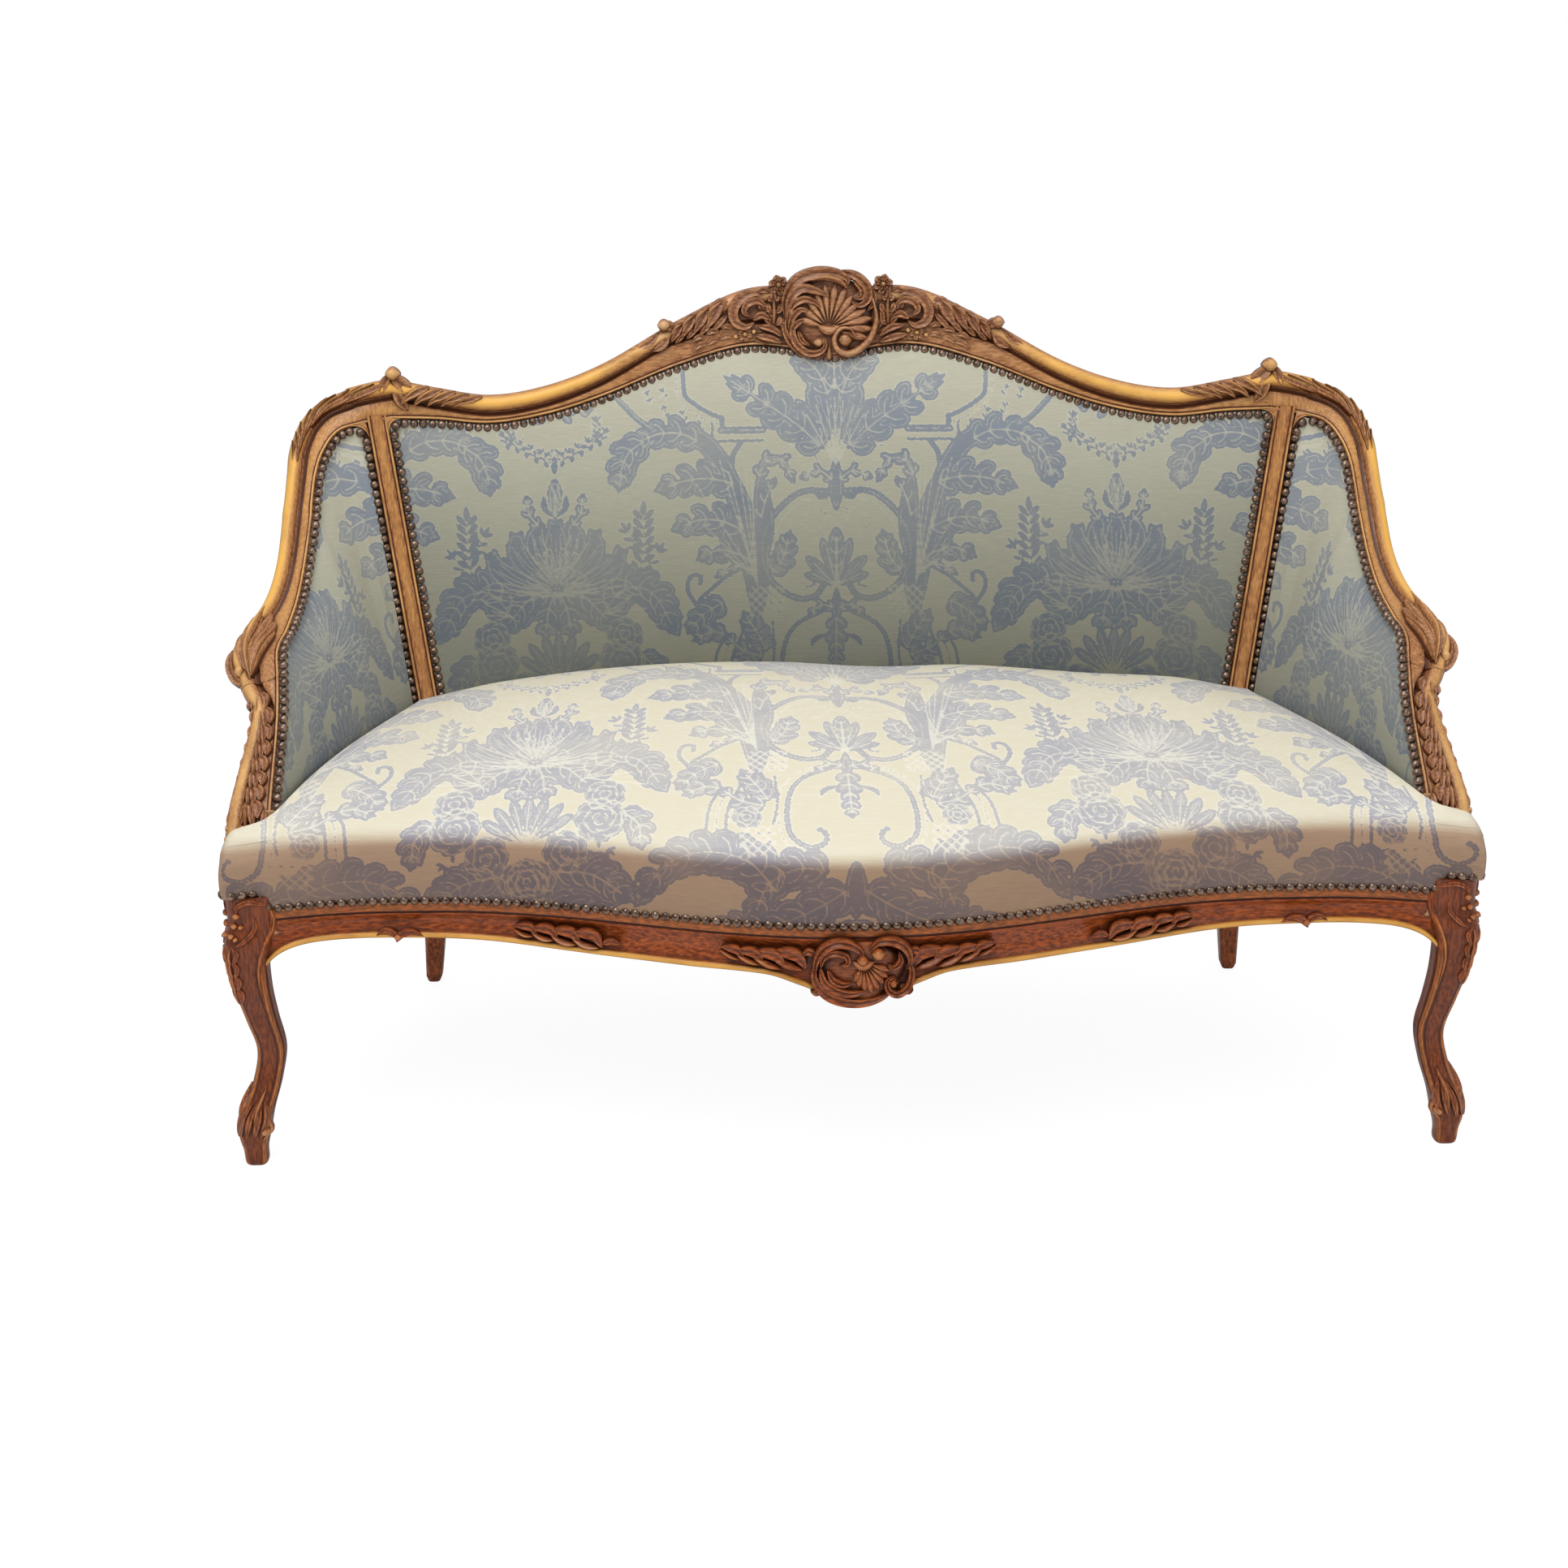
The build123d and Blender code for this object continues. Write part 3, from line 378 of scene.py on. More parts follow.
@dataclass(frozen=True)
class CarvedWood:
    """Waxed walnut with gilding rubbed thin: recesses dark with wax and with painted shade, rubbed edges, and gold with
    a painted highlight on the raised rolls.

    Its grain is drawn coarser than walnut's, so that it shows at this distance.
    """

    name: str = "waxed walnut, part gilt"
    grain: tuple[float, float, float] = (14.0, 60.0, 60.0)
    recess: str = "56301C"
    rubbed: str = "E2B482"
    # bright end of the gold: a painted highlight on the raised rolls
    gold: str = "FCC058"

    def material(self) -> bpy.types.Material:
        """Marks give the layers; noise drawn out along the grain breaks them up."""
        s = Shader(self.name)
        marks = s.add("Attribute", out="Color", attribute_name="finish")
        patina, gilt, warmth = s.add("SeparateColor", [marks]).outputs
        place = s.add("TexCoord", out="Object")
        grain = s.add("Mapping", {"Vector": place, "Scale": self.grain}, 0)
        fibres = s.add("TexNoise", {"Vector": grain, "Scale": 6.0, "Detail": 5.0, "Roughness": 0.6}, 0)
        cloud = s.add("TexNoise", {"Vector": place, "Scale": 16.0, "Detail": 3.0}, 0)
        # ambient occlusion: the colour is darkened in crevices and between carved parts as painted shade, over the wax
        # that the patina marks put in the recesses
        crevice = s.add("AmbientOcclusion", {"Distance": 0.009}, "AO", samples=6, only_local=True)
        shade, fine, coarse, lit, raised, spots, gold_highlight, scuffs, rough = [
            s.add("MapRange", row, 0, **SMOOTH) for row in (
                (crevice, 0.35, 0.95), (fibres, 0.35, 0.7), (fibres, 0.3, 0.75), (patina, 0.0, 0.55),
                (patina, 0.72, 1.0), (cloud, 0.25, 0.7), (patina, 0.5, 1.0), (cloud, 0.22, 0.62, 0.55, 1.0),
                (cloud, 0.3, 0.7, 0.3, 0.42),
            )
        ]
        rubbed = s.add("Math", (raised, spots), 0, operation="MULTIPLY")
        # gilding left where the scuffs spare it
        wear_and_shade = s.add("Math", (gilt, scuffs), 0, operation="MULTIPLY")
        # the gold runs from a dull tone to a bright one on raised places: a painted highlight
        brown, red, dark, pale, gold = [
            s.add("Mix", {0: share, 6: srgb(first), 7: srgb(second)}, 2,
                  **MIXED) for share, first, second in (
                (fine, "865235", "CB9062"), (coarse, "642608", "C05712"), (warmth, self.recess, "3A1408"),
                (warmth, self.rubbed, "D58A44"), (gold_highlight, "D89B48", self.gold),
            )
        ]
        wood = s.add("Mix", {0: warmth, 6: brown, 7: red}, 2, **MIXED)
        colour = s.add("Mix", {0: lit, 6: dark, 7: wood}, 2, **MIXED)
        colour = s.add("Mix", {0: rubbed, 6: colour, 7: pale}, 2, **MIXED)
        colour = s.add("Mix", {0: wear_and_shade, 6: colour, 7: gold}, 2, **MIXED)
        # painted shade: where the occlusion is low, the colour is pulled towards the recess colour
        deep = s.add("Mix", {0: 0.72, 6: colour, 7: dark}, 2, **MIXED)
        colour = s.add("Mix", {0: shade, 6: deep, 7: colour}, 2, **MIXED)
        bump = s.add("Bump", {"Height": fibres, "Distance": 0.0004, "Strength": 0.25}, 0)
        return s.finish(s.add("BsdfPrincipled", {
            "Base Color": colour, "Roughness": rough, "Normal": bump, "Coat Weight": 0.22,
            "Coat Roughness": 0.18, "Specular IOR Level": 0.28,
        }, 0))

@dataclass(frozen=True)
class PlainFinish:
    """A plain material with a little variation: hidden timber, cloths, metal."""

    name: str
    colour: str
    second: str
    roughness: float = 0.6
    metallic: float = 0.0
    scale: tuple[float, float, float] = (20.0, 20.0, 20.0)
    bump: float = 0.2

    def material(self) -> bpy.types.Material:
        """Two tones over a stretched noise."""
        s = Shader(self.name)
        place = s.add("Mapping", {"Vector": s.add("TexCoord", out="Object"), "Scale": self.scale}, 0)
        noise = s.add("TexNoise", {"Vector": place, "Scale": 8.0, "Detail": 4.0}, 0)
        share = s.add("MapRange", (noise, 0.3, 0.7), 0, **SMOOTH)
        colour = s.add("Mix", {0: share, 6: srgb(self.colour), 7: srgb(self.second)}, 2, **MIXED)
        bump = s.add("Bump", {"Height": noise, "Distance": 0.0004, "Strength": self.bump}, 0)
        return s.finish(s.add("BsdfPrincipled", {
            "Base Color": colour, "Roughness": self.roughness, "Metallic": self.metallic, "Normal": bump,
        }, 0))

@dataclass(frozen=True)
class Damask:
    """Woven damask: a satin ground and a figure outlined by paler threads, faded by light.

    The figure comes from the cloth's own marks: red is the signed distance to its outline, green
    the distance to the nearest drawn line, both 0.5 +/- 0.5 over 8 mm, and blue how much painted shade darkens the
    cloth.
    """

    name: str
    ground: str
    figure: str
    line: str
    # colours of ground and figure where painted shade darkens the cloth
    shaded_ground: str
    shaded_figure: str

    def material(self) -> bpy.types.Material:
        """Thresholds of the distances give crisp woven edges whatever the mesh's size."""
        s = Shader(self.name)
        marks = s.add("Attribute", out="Color", attribute_name="weave")
        inside, line, wear_and_shade = s.add("SeparateColor", [marks]).outputs
        place = s.add("TexCoord", out="Object")
        threads = s.add("Mapping", {"Vector": place, "Scale": (60, 60, 1400)}, 0)
        cloud, slub, broken = [
            s.add("TexNoise", {"Vector": vector, "Scale": scale, "Detail": detail}, 0)
            for vector, scale, detail in ((place, 7.0, 3.0), (threads, 1.0, 2.0), (place, 85.0, 2.0))
        ]
        # distance from the outline, and from a second, broken thread 4 mm inside it
        rim, depth = [
            s.add("Math", [s.add("Math", (inside, level), 0, operation="SUBTRACT")], 0, operation="ABSOLUTE")
            for level in (0.47, 0.75)
        ]
        faded, filled, edge, drawn, second, gaps, slubs, raised, rough = [
            s.add("MapRange", row, 0, **SMOOTH) for row in (
                (cloud, 0.35, 0.7, 0.0, 0.35), (inside, 0.49, 0.53), (rim, 0.02, 0.065, 0.6, 0.0),
                (line, 0.51, 0.58, 0.8, 0.0), (depth, 0.018, 0.05, 0.55, 0.0), (broken, 0.4, 0.56),
                (slub, 0.35, 0.75, 0.0, 0.14), (inside, 0.47, 0.53), (inside, 0.48, 0.54, 0.62, 0.78),
            )
        ]
        # ground, figure and threads pulled towards their painted-shade colours by the blue mark
        ground, figure, pale = [
            s.add("Mix", {0: wear_and_shade, 6: srgb(fresh), 7: srgb(old)}, 2, **MIXED) for fresh, old in (
                (self.ground, self.shaded_ground), (self.figure, self.shaded_figure), (self.line,
                                                                                   self.shaded_ground),
            )
        ]
        figure = s.add("Mix", {0: faded, 6: figure, 7: ground}, 2, **MIXED)
        body = s.add("Mix", {0: filled, 6: ground, 7: figure}, 2, **MIXED)
        both = s.add("Math", (edge, drawn), 0, operation="MAXIMUM")
        second = s.add("Math", (second, gaps), 0, operation="MULTIPLY")
        both = s.add("Math", (both, second), 0, operation="MAXIMUM")
        colour = s.add("Mix", {0: both, 6: body, 7: pale}, 2, **MIXED)
        colour = s.add("Mix", {0: slubs, 6: colour, 7: srgb("FFFFFF")}, 2, blend_type="OVERLAY", **MIXED)
        height = s.add("Math", (raised, 0.5, slub), 0, operation="MULTIPLY_ADD")
        bump = s.add("Bump", {"Height": height, "Distance": 0.0006, "Strength": 0.35}, 0)
        return s.finish(s.add("BsdfPrincipled", {
            "Base Color": colour, "Roughness": rough, "Normal": bump, "Sheen Weight": 0.18,
            "Sheen Roughness": 0.4, "Specular IOR Level": 0.25,
        }, 0))

# ---- The woven figure ----
# Strokes of the damask: across it from the axis, and up it, in millimetres.
PLUME = """
rays: 1 310, 0 396, 11 392, 25 386, 38 374
leafage 5 25 17: 14 328, 52 362, 96 392, 132 416
leafage 4 22 16: 8 398, 22 430, 46 452
leafage 3 20 14: 0 404, 0 440, 0 470
band 2.4: 64 333, 34 330, 22 310
blade 21 0.5: 0 246, 0 282, 0 318
leafage 3 9 8: 4 288, 22 300, 44 292
blade 8: 4 276, 18 266, 32 274
"""
STRAPS = """
band 7: 199 470, 199 404, 182 387, 158 374, 149 371
band 2.6: 208 470, 208 402, 189 379, 161 365, 153 363
band 7: 150 372, 150 357
band 10: 152 355, 96 355
band 4.5: 164 341, 96 341
band 4: 163 364, 163 341
band 8: 126 339, 136 322, 138 302
band 9: 300 412, 264 374, 241 356
thread 1: 298 412, 262 374, 243 359
"""
WING = """
blade 42 0.5: 106 96, 108 180, 126 246, 142 312
blade 27 0.4: 124 250, 148 306, 178 342, 226 352, 270 334, 286 300
leafage 4 21 12: 180 340, 206 352, 234 352, 258 344
leafage 4 20 18: 252 344, 274 328, 284 306, 286 292
blade 9: 290 312, 294 292, 282 283, 272 292
leafage 4 21 21: 132 284, 166 292, 200 290, 226 282
leafage 4 20 20: 122 222, 152 236, 182 238, 206 230
leafage 3 17 17: 112 182, 136 194, 158 198, 176 190
leafage 3 9 9: 108 168, 134 176, 158 164
blade 28 0.5: 98 172, 96 236, 102 304
leafage 4 10 13: 104 292, 92 314, 70 314, 58 290
rays: 106 150, 112 296, 120 304, 130 306, 142 300, 154 316
rays: 108 160, 186 286, 176 232, 150 194
band 7: 155 85, 184 120, 199 146, 194 164, 182 164, 182 154
leafage 4 16 15: 150 128, 176 114, 194 94
leafage 3 13 12: 150 84, 168 88, 186 80
band 6: 126 174, 150 160, 182 134
"""
CARTOUCHE = """
edged 10 1: 6 273, 45 273, 74 253, 93 225, 99 197, 94 168, 77 145, 51 131, 29 134, 16 150
band 2.2: 8 262, 42 262, 66 244, 82 218, 88 196
band 4: 40 146, 30 150, 28 160, 36 164
leafage 4 15 14: 88 166, 72 184, 64 212
leafage 3 12 12: 0 170, 0 196, 0 214
rays: 1 148, 0 212, 13 198, 30 178, 32 164
band 2.6: 4 236, 20 248, 40 242, 43 228, 28 221, 16 232, 14 250
blade 15: 0 96, 0 122, 0 146
leafage 3 8 8: 4 118, 20 122, 34 112
trellis 12: 70 108, 118 148
"""
LOWER_OVAL = """
edged 7.5 0.9: 6 120, 27 110, 51 98, 65 81, 72 57, 74 28, 69 4, 51 -10, 34 -6, 31 7, 38 13
band 2.6: 6 131, 30 120, 58 106, 76 84, 83 57, 84 28, 78 0, 56 -19
leafage 3 15 9: 0 106, 0 84, 0 62
leafage 3 11 8: 0 72, 0 54, 0 36
blade 8: 14 82, 30 74, 34 62
trellis 12: 88 -18, 130 22
leafage 4 15 15: 94 60, 106 84, 120 106
leafage 3 12 12: 98 52, 126 62, 146 80
bloom 18 6: 120 36
band 4: 86 100, 84 60, 90 24
leafage 8 24 26: 84 -66, 118 -24, 168 -6, 214 -18, 238 -50
leafage 5 22 22: 30 -40, 64 -36, 96 -50, 112 -84
leafage 6 24 22: 6 -60, 44 -84, 92 -104, 150 -96
blade 26: 0 -30, 0 -60, 0 -100
leafage 3 22 18: 0 -100, 0 -124, 0 -156
"""
BOUQUET = """
petal 30: 0 150, -44 146, -86 152, -108 138
petal 34: 0 150, -42 160, -74 178, -88 204
petal 34: 0 152, -30 178, -50 202, -52 228
petal 30: 0 156, -15 186, -27 214, -21 240
petal 36: 0 150, 0 190, 0 242
thread 1.3: -46 150, -22 145, 0 143
leafage 3 9 8: -22 236, -34 252, -36 272
petal 19 0.6: 0 244, 0 268, 0 296
blade 9 0.6: 0 246, -13 258, -15 276
leafage 4 20 28: -8 152, -36 140, -66 108
leafage 3 18 20: -2 150, -12 124, -16 98
spray 8 20: -100 140, -114 190, -116 246
spray 3 14: -112 196, -94 226
spray 3 13: -108 160, -136 200
spray 3 12: -92 140, -78 176
leafage 7 22 27: -60 118, -90 150, -124 144, -152 98
rays: -62 118, -96 136, -118 122, -134 100
bloom 25 7: -88 88
bloom 31 8: -84 52
leafage 4 16 16: -108 60, -128 40, -132 16
bloom 27 7: -46 14
bloom 31 8: -4 -20
leafage 6 24 24: -30 -8, -74 -16, -112 -46
leafage 5 24 24: -20 -46, -60 -66, -96 -104
leafage 4 24 20: 0 -50, 0 -86, 0 -122
spray 3 11: -70 40, -96 10
band 2: 6 319, -26 328, -60 346
spray 4 9: -58 342, -56 372
blade 8: 0 312, 0 304
leafage 4 16 16: -20 440, -50 420, -86 424
leafage 3 12 12: 6 400, -16 384, -44 386
"""


@dataclass
class WovenFigure:
    """One repeat of the damask's figure as distances, drawn from strokes on a millimetre grid.

    Across, the drawing runs from the cartouche's axis (0) to the bouquet's (372) and is reflected in
    both; up the cloth it repeats every 600 mm. Distances are positive inside the figure.
    """

    half: float = 372.0
    low: float = -160.0
    high: float = 440.0
    margin: int = 40

    def __post_init__(self) -> None:
        self.shape = (int(self.high - self.low) + 2 * self.margin, int(self.half) + 2 * self.margin)
        self.inside = np.full(self.shape, -8.0)
        self.line = np.full(self.shape, 8.0)

    def _merge(self, points: np.ndarray, radius: np.ndarray, drawn: bool = False) -> None:
        """Draw a stroke and the reflections and repeats of it that reach the grid.

        Args:
            points: centres of the discs that make the stroke.
            radius: their radii.
            drawn: the stroke is a pale line and no part of the figure.
        """
        rows, columns = self.shape
        reach = radius.max() + 9
        for across in (points[:, 0], -points[:, 0], 2 * self.half - points[:, 0]):
            x = across + self.margin
            for lift in (-600, 0, 600):
                y = points[:, 1] - self.low + self.margin + lift
                x0, x1 = max(0, int(x.min() - reach)), min(columns, int(x.max() + reach) + 1)
                y0, y1 = max(0, int(y.min() - reach)), min(rows, int(y.max() + reach) + 1)
                if x0 >= x1 or y0 >= y1:
                    continue
                grid_y, grid_x = np.mgrid[y0:y1, x0:x1]
                away = (np.hypot(grid_x[..., None] - x, grid_y[..., None] - y) - radius).min(-1)
                window = slice(y0, y1), slice(x0, x1)
                if drawn:
                    self.line[window] = np.minimum(self.line[window], away)
                else:
                    self.inside[window] = np.maximum(self.inside[window], -away)

    def strokes(self, rows: str, origin: float = 0.0) -> None:
        """Draw rows of text that name the strokes below; their places are measured from an origin."""
        for word, sizes, points in drawn_rows(rows):
            getattr(self, word)([(x + origin, y) for x, y in points], *sizes)

    def blade(self, points, width: float, belly: float = 0.45, tip: float = 0.5) -> None:
        """A filled, tapered stroke.

        Args:
            points: line that it follows, in millimetres.
            width: its full width at the belly.
            belly: where along it the belly is.
            tip: half width at the tip.
        """
        line = spline(points, max(8, int(np.ptp(points, axis=0).max() / 4) + 6))
        share = np.linspace(0, 1, len(line)) ** (math.log(0.5) / math.log(belly))
        self._merge(line, np.maximum(width / 2 * np.sin(math.pi * share) ** 0.7, tip))

    def band(self, points, width: float) -> None:
        """A filled stroke of even width."""
        line = spline(points, max(8, int(np.ptp(points, axis=0).max() / 4) + 8))
        self._merge(line, np.full(len(line), width / 2))

    def thread(self, points, width: float = 0.9) -> None:
        """A pale drawn line."""
        line = spline(points, max(8, int(np.ptp(points, axis=0).max() / 3) + 8))
        self._merge(line, np.full(len(line), width / 2), drawn=True)

    def edged(self, points, width: float, line: float) -> None:
        """A band with a pale line down its middle."""
        self.band(points, width)
        self.thread(points[1:-1], line)

    def leafage(self, spine, lobes: int, reach: float, body: float, sides: Sequence[int] = (-1, 1),
                turn: float = 54.0) -> None:
        """A solid leaf with a scalloped edge: broad lobes merge along its spine, each with a pale vein.

        Args:
            spine: line that it follows.
            lobes: lobes on each side.
            reach: length of its longest lobe.
            body: width of the leaf between its lobes.
            sides: the sides that have lobes.
            turn: angle at which a lobe leaves the spine.
        """
        line = spline(spine, 60)
        way = unit(np.gradient(line, axis=0))
        pitch = float(run_length(line)[-1]) * 0.8 / max(1, lobes - 1)
        for index in range(lobes):
            share = 0.06 + 0.8 * index / max(1, lobes - 1)
            start, ahead = line[int(share * 59)], way[int(share * 59)]
            size = (reach + body * 0.3) * (0.62 + 0.38 * math.sin(math.pi * min(1.0, 0.25 + share * 0.8)))
            for side in sides:
                middle = start + size * 0.55 * turned(ahead, side * turn)
                last = turned(ahead, side * (turn - 30))
                tip = middle + size * 0.6 * last
                self.blade([start, middle, tip], min(pitch * 1.3, size * 0.85), 0.55, 1.2)
                for bend in (-40, 40):
                    end = middle + size * 0.4 * turned(last, bend)
                    self.blade([lerp(start, middle, 0.6), end], min(pitch * 0.75, size * 0.42), 0.6, 1.0)
                self.thread([start + (middle - start) * 0.2, middle, middle + (tip - middle) * 0.5], 0.8)
        self.blade(line[:52], body * 1.15, 0.42)
        for bend in (-32, 0, 32):
            end = line[-1] + reach * (0.55 if bend else 0.8) * turned(way[-1], bend)
            self.blade([line[-14], end], body * 0.62, 0.6, 1.0)
        self.thread(line[3:-2], 1.3)

    def rays(self, points) -> None:
        """Pale lines from the first point to each of the others."""
        for tip in points[1:]:
            self.thread([points[0], tip], 1.1)

    def petal(self, spine, width: float, notch: float = 1.0) -> None:
        """A curved petal with a cut edge, outlined by pale threads inside its edge, and pale ribs."""
        line = spline(spine, 40)
        way = unit(np.gradient(line, axis=0))
        side = np.column_stack([-way[:, 1], way[:, 0]])
        self.blade(spine, width, 0.62, 1.6)
        for share, out in ((26, 0.5), (32, 0.4), (38, 0.2)):
            for sign in (-1, 1):
                end = line[share] + side[share] * width * out * sign + way[share] * width * 0.16 * notch
                self.blade([line[share - 10], end], width * 0.34, 0.66, 1.1)
        reach = width * 0.37 * np.sin(math.pi * np.linspace(0.06, 0.93, 40) ** 1.3)[:, None]
        for sign in (-1, 1):
            self.thread((line + side * reach * sign)[4:38:4], 0.9)
            rib = [line[k] + side[k] * width * bulge * sign for k,
                   bulge in ((5, 0.0), (20, 0.15), (32, 0.17))]
            self.thread(rib, 0.7)
        self.thread(line[3:30], 0.8)

    def bloom(self, points, radius: float, petals: int = 7) -> None:
        """A rose at a point: rings of petals outlined round a heart."""
        rings = ((0.52, 0.44, petals, 1.25), (0.24, 0.36, petals - 2, 1.2), (0.08, 0.2, 3, 1.0))
        for ring, size, count, reach in rings:
            for index in range(count):
                angle = 2 * math.pi * (index + 0.37 * ring * 10) / count
                middle = np.asarray(points[0]) + radius * ring * np.array([math.cos(angle), math.sin(angle)])
                if ring > 0.5:
                    ends = [middle - radius * 0.1, middle + radius * 0.1]
                    self.blade(ends, radius * size * 2.1, 0.5, radius * size * 0.9)
                arc = angle + 0.2 + np.linspace(-reach, reach, 9)
                self.thread(middle + radius * size * np.column_stack([np.cos(arc), np.sin(arc)]), 0.9)

    def spray(self, points, pairs: int, size: float) -> None:
        """A stem with small leaves in pairs and one at its end."""
        line = spline(points, 30)
        way = unit(np.gradient(line, axis=0))
        self.band(line, 1.6)
        for index in range(pairs):
            at = int((0.2 + 0.75 * index / max(1, pairs - 1)) * 29)
            for side in (-1, 1):
                self.blade([line[at], line[at] + size * turned(way[at], side * 42)], size * 0.42, 0.6, 1.2)
        self.blade([line[-1], line[-1] + way[-1] * size], size * 0.45)

    def trellis(self, points, pitch: float = 15.0) -> None:
        """A panel between two corners: crossed pale lines with a lozenge of the figure in each space."""
        (x0, y0), (x1, y1) = points
        span = (x1 - x0) + (y1 - y0)
        for offset in np.arange(-span, span, pitch):
            for slope in (1.0, -1.0):
                t = np.linspace(0, span, 40)
                x, y = x0 + t, (y0 if slope > 0 else y1) + offset + slope * t
                keep = (x <= x1) & (y >= y0) & (y <= y1)
                if keep.sum() > 3:
                    ends = np.column_stack([x, y])[keep]
                    self.thread([ends[0], ends[-1]], 1.4)
        for x in np.arange(x0 + pitch / 2, x1, pitch):
            for y in np.arange(y0 + pitch / 2, y1, pitch):
                self.blade([(x - 2.2, y), (x + 2.2, y)], 4.2, 0.5)

    def draw(self) -> WovenFigure:
        """The whole repeat."""
        for rows in (PLUME, STRAPS, WING, CARTOUCHE, LOWER_OVAL):
            self.strokes(rows)
        self.strokes(BOUQUET, self.half)
        self._cartouche()
        self._flower(self.half)
        # a fine wave both ways, 8 mm long, cuts the edges of the leaves as the coarse weave does
        v, x = np.mgrid[0:self.shape[0], 0:self.shape[1]].astype(float)
        wave = np.sin(0.78 * x + 1.9 * np.sin(0.23 * v)) * np.sin(0.74 * v + 1.9 * np.sin(0.21 * x))
        self.inside += 0.9 * wave * (np.abs(self.inside) < 4)
        return self

    def _cartouche(self) -> None:
        """Palmettes on the cartouche's axis, sprigs in the strapwork, and the strap columns."""
        for tip in ((0, 420), (17, 416), (36, 410), (52, 394)):
            self.blade([(2, 306), (tip[0] * 0.5, 360), tip], 19, 0.8)
        for tip, width in (((0, 226), 23), ((20, 212), 17), ((41, 187), 18), ((44, 164), 14)):
            self.blade([(1, 144), (tip[0] * 0.5, (tip[1] + 150) / 2), tip], width, 0.68)
        for x, v in ((176, 352), (198, 366), (222, 372), (224, 396), (244, 392), (240, 416), (262, 414)):
            self.spray([(x, v), (x + 4, v + 12)], 2, 6.5)
        for x, width in ((163, 5), (152, 2.6), (141, 5)):
            self.band([(x - 14, 84), (x - 1, 55), (x + 3, 19), (x, -24)], width)
        self.leafage([(100, 238), (94, 262), (84, 284)], 3, 13, 12, (-1,))

    def _flower(self, c: float) -> None:
        """Inner petals of the great flower, husks below it and a garland above, round the axis c."""
        for low, out, size in ((178, 0, 13), (170, 17, 12), (160, 33, 12), (196, 10, 10), (190, 25, 10)):
            self.blade([(c - out * 0.7, low - size), (c - out, low + size)], size * 1.2, 0.62, 2)
            foot, head, half = c - out * 0.8, c - out, size * 0.5
            self.thread([
                (foot - size * 0.4, low - size * 0.3), (head - half, low + half), (head, low + size),
                (head + half, low + half), (foot + size * 0.4, low - size * 0.3),
            ], 0.9)
        for tip in ((c, 92), (c - 20, 90), (c - 40, 80), (c - 52, 62)):
            self.blade([(c, 22), lerp(np.array([c, 22.0]), np.array(tip, float), 0.55), tip], 15, 0.75)
            self.thread([(c, 24), lerp(np.array([c, 24.0]), np.array(tip, float), 0.85)], 1.1)
        for x, v in ((0, 319), (-12, 321), (-25, 327), (-38, 334), (-50, 341), (-62, 346)):
            self.spray([(c + x, v), (c + x - 5, v + 10)], 2, 8)
            self.blade([(c + x, v - 1), (c + x + 3, v - 9)], 6)

    def at(self, across: np.ndarray, up: np.ndarray) -> tuple[np.ndarray, np.ndarray]:
        """Both distances at points of the cloth, read between the grid's own points."""
        x = np.abs((np.asarray(across, float) + self.half) % (2 * self.half) - self.half) + self.margin
        y = (np.asarray(up, float) - self.low) % (self.high - self.low) + self.margin
        column, row = x.astype(int), y.astype(int)
        fx, fy = x - column, y - row
        found = []
        for values in (self.inside, self.line):
            top = values[row, column] * (1 - fx) + values[row, column + 1] * fx
            below = values[row + 1, column] * (1 - fx) + values[row + 1, column + 1] * fx
            found.append(top * (1 - fy) + below * fy)
        return found[0], found[1]

    def marks(self, across: np.ndarray, up: np.ndarray, wear_and_shade) -> np.ndarray:
        """Marks for a cloth's points: figure, drawn lines and painted shade."""
        inside, line = self.at(across, up)
        scaled = [np.clip(0.5 + value / 16, 0, 1) for value in (inside, line)]
        return np.stack([*scaled, np.broadcast_to(wear_and_shade, inside.shape)], -1)


def turned(vector: np.ndarray, degrees: float) -> np.ndarray:
    """A two-dimensional vector turned anticlockwise."""
    c, s = math.cos(math.radians(degrees)), math.sin(math.radians(degrees))
    return np.array([vector[0] * c - vector[1] * s, vector[0] * s + vector[1] * c])


# ---- Moulded runs ----
@dataclass
class Run:
    """Stations along a moulded rail: where its face starts, the way across it and the way out of it."""

    places: np.ndarray
    origin: np.ndarray
    across: np.ndarray
    out: np.ndarray
    width: np.ndarray

    def at(self, place, across, out) -> np.ndarray:
        """Points given by place along the run and by millimetres across and out of its face."""
        place, across, out = np.broadcast_arrays(place, np.asarray(across, float), np.asarray(out, float))
        parts = []
        for values in (self.origin, self.across, self.out):
            parts.append(np.stack([np.interp(place, self.places, values[:, k]) for k in range(3)], -1))
        return parts[0] + parts[1] * across[..., None] + parts[2] * out[..., None]

    def joined(self, other: Run) -> Run:
        """This run carried on by another."""
        return Run(*[np.concatenate([getattr(self, n), getattr(other, n)]) for n in
                     ("places", "origin", "across", "out", "width")])


def crest_run(places: np.ndarray) -> Run:
    """Stations of the crest rail; a place is the distance from the middle."""
    height, width = crest_edge(places)
    origin = np.stack([places, back_y(places, height), height], -1)
    ones = np.ones((len(places), 1))
    return Run(places, origin, ones * UP_FACE, ones * OUT_FACE, width / math.cos(RAKE))


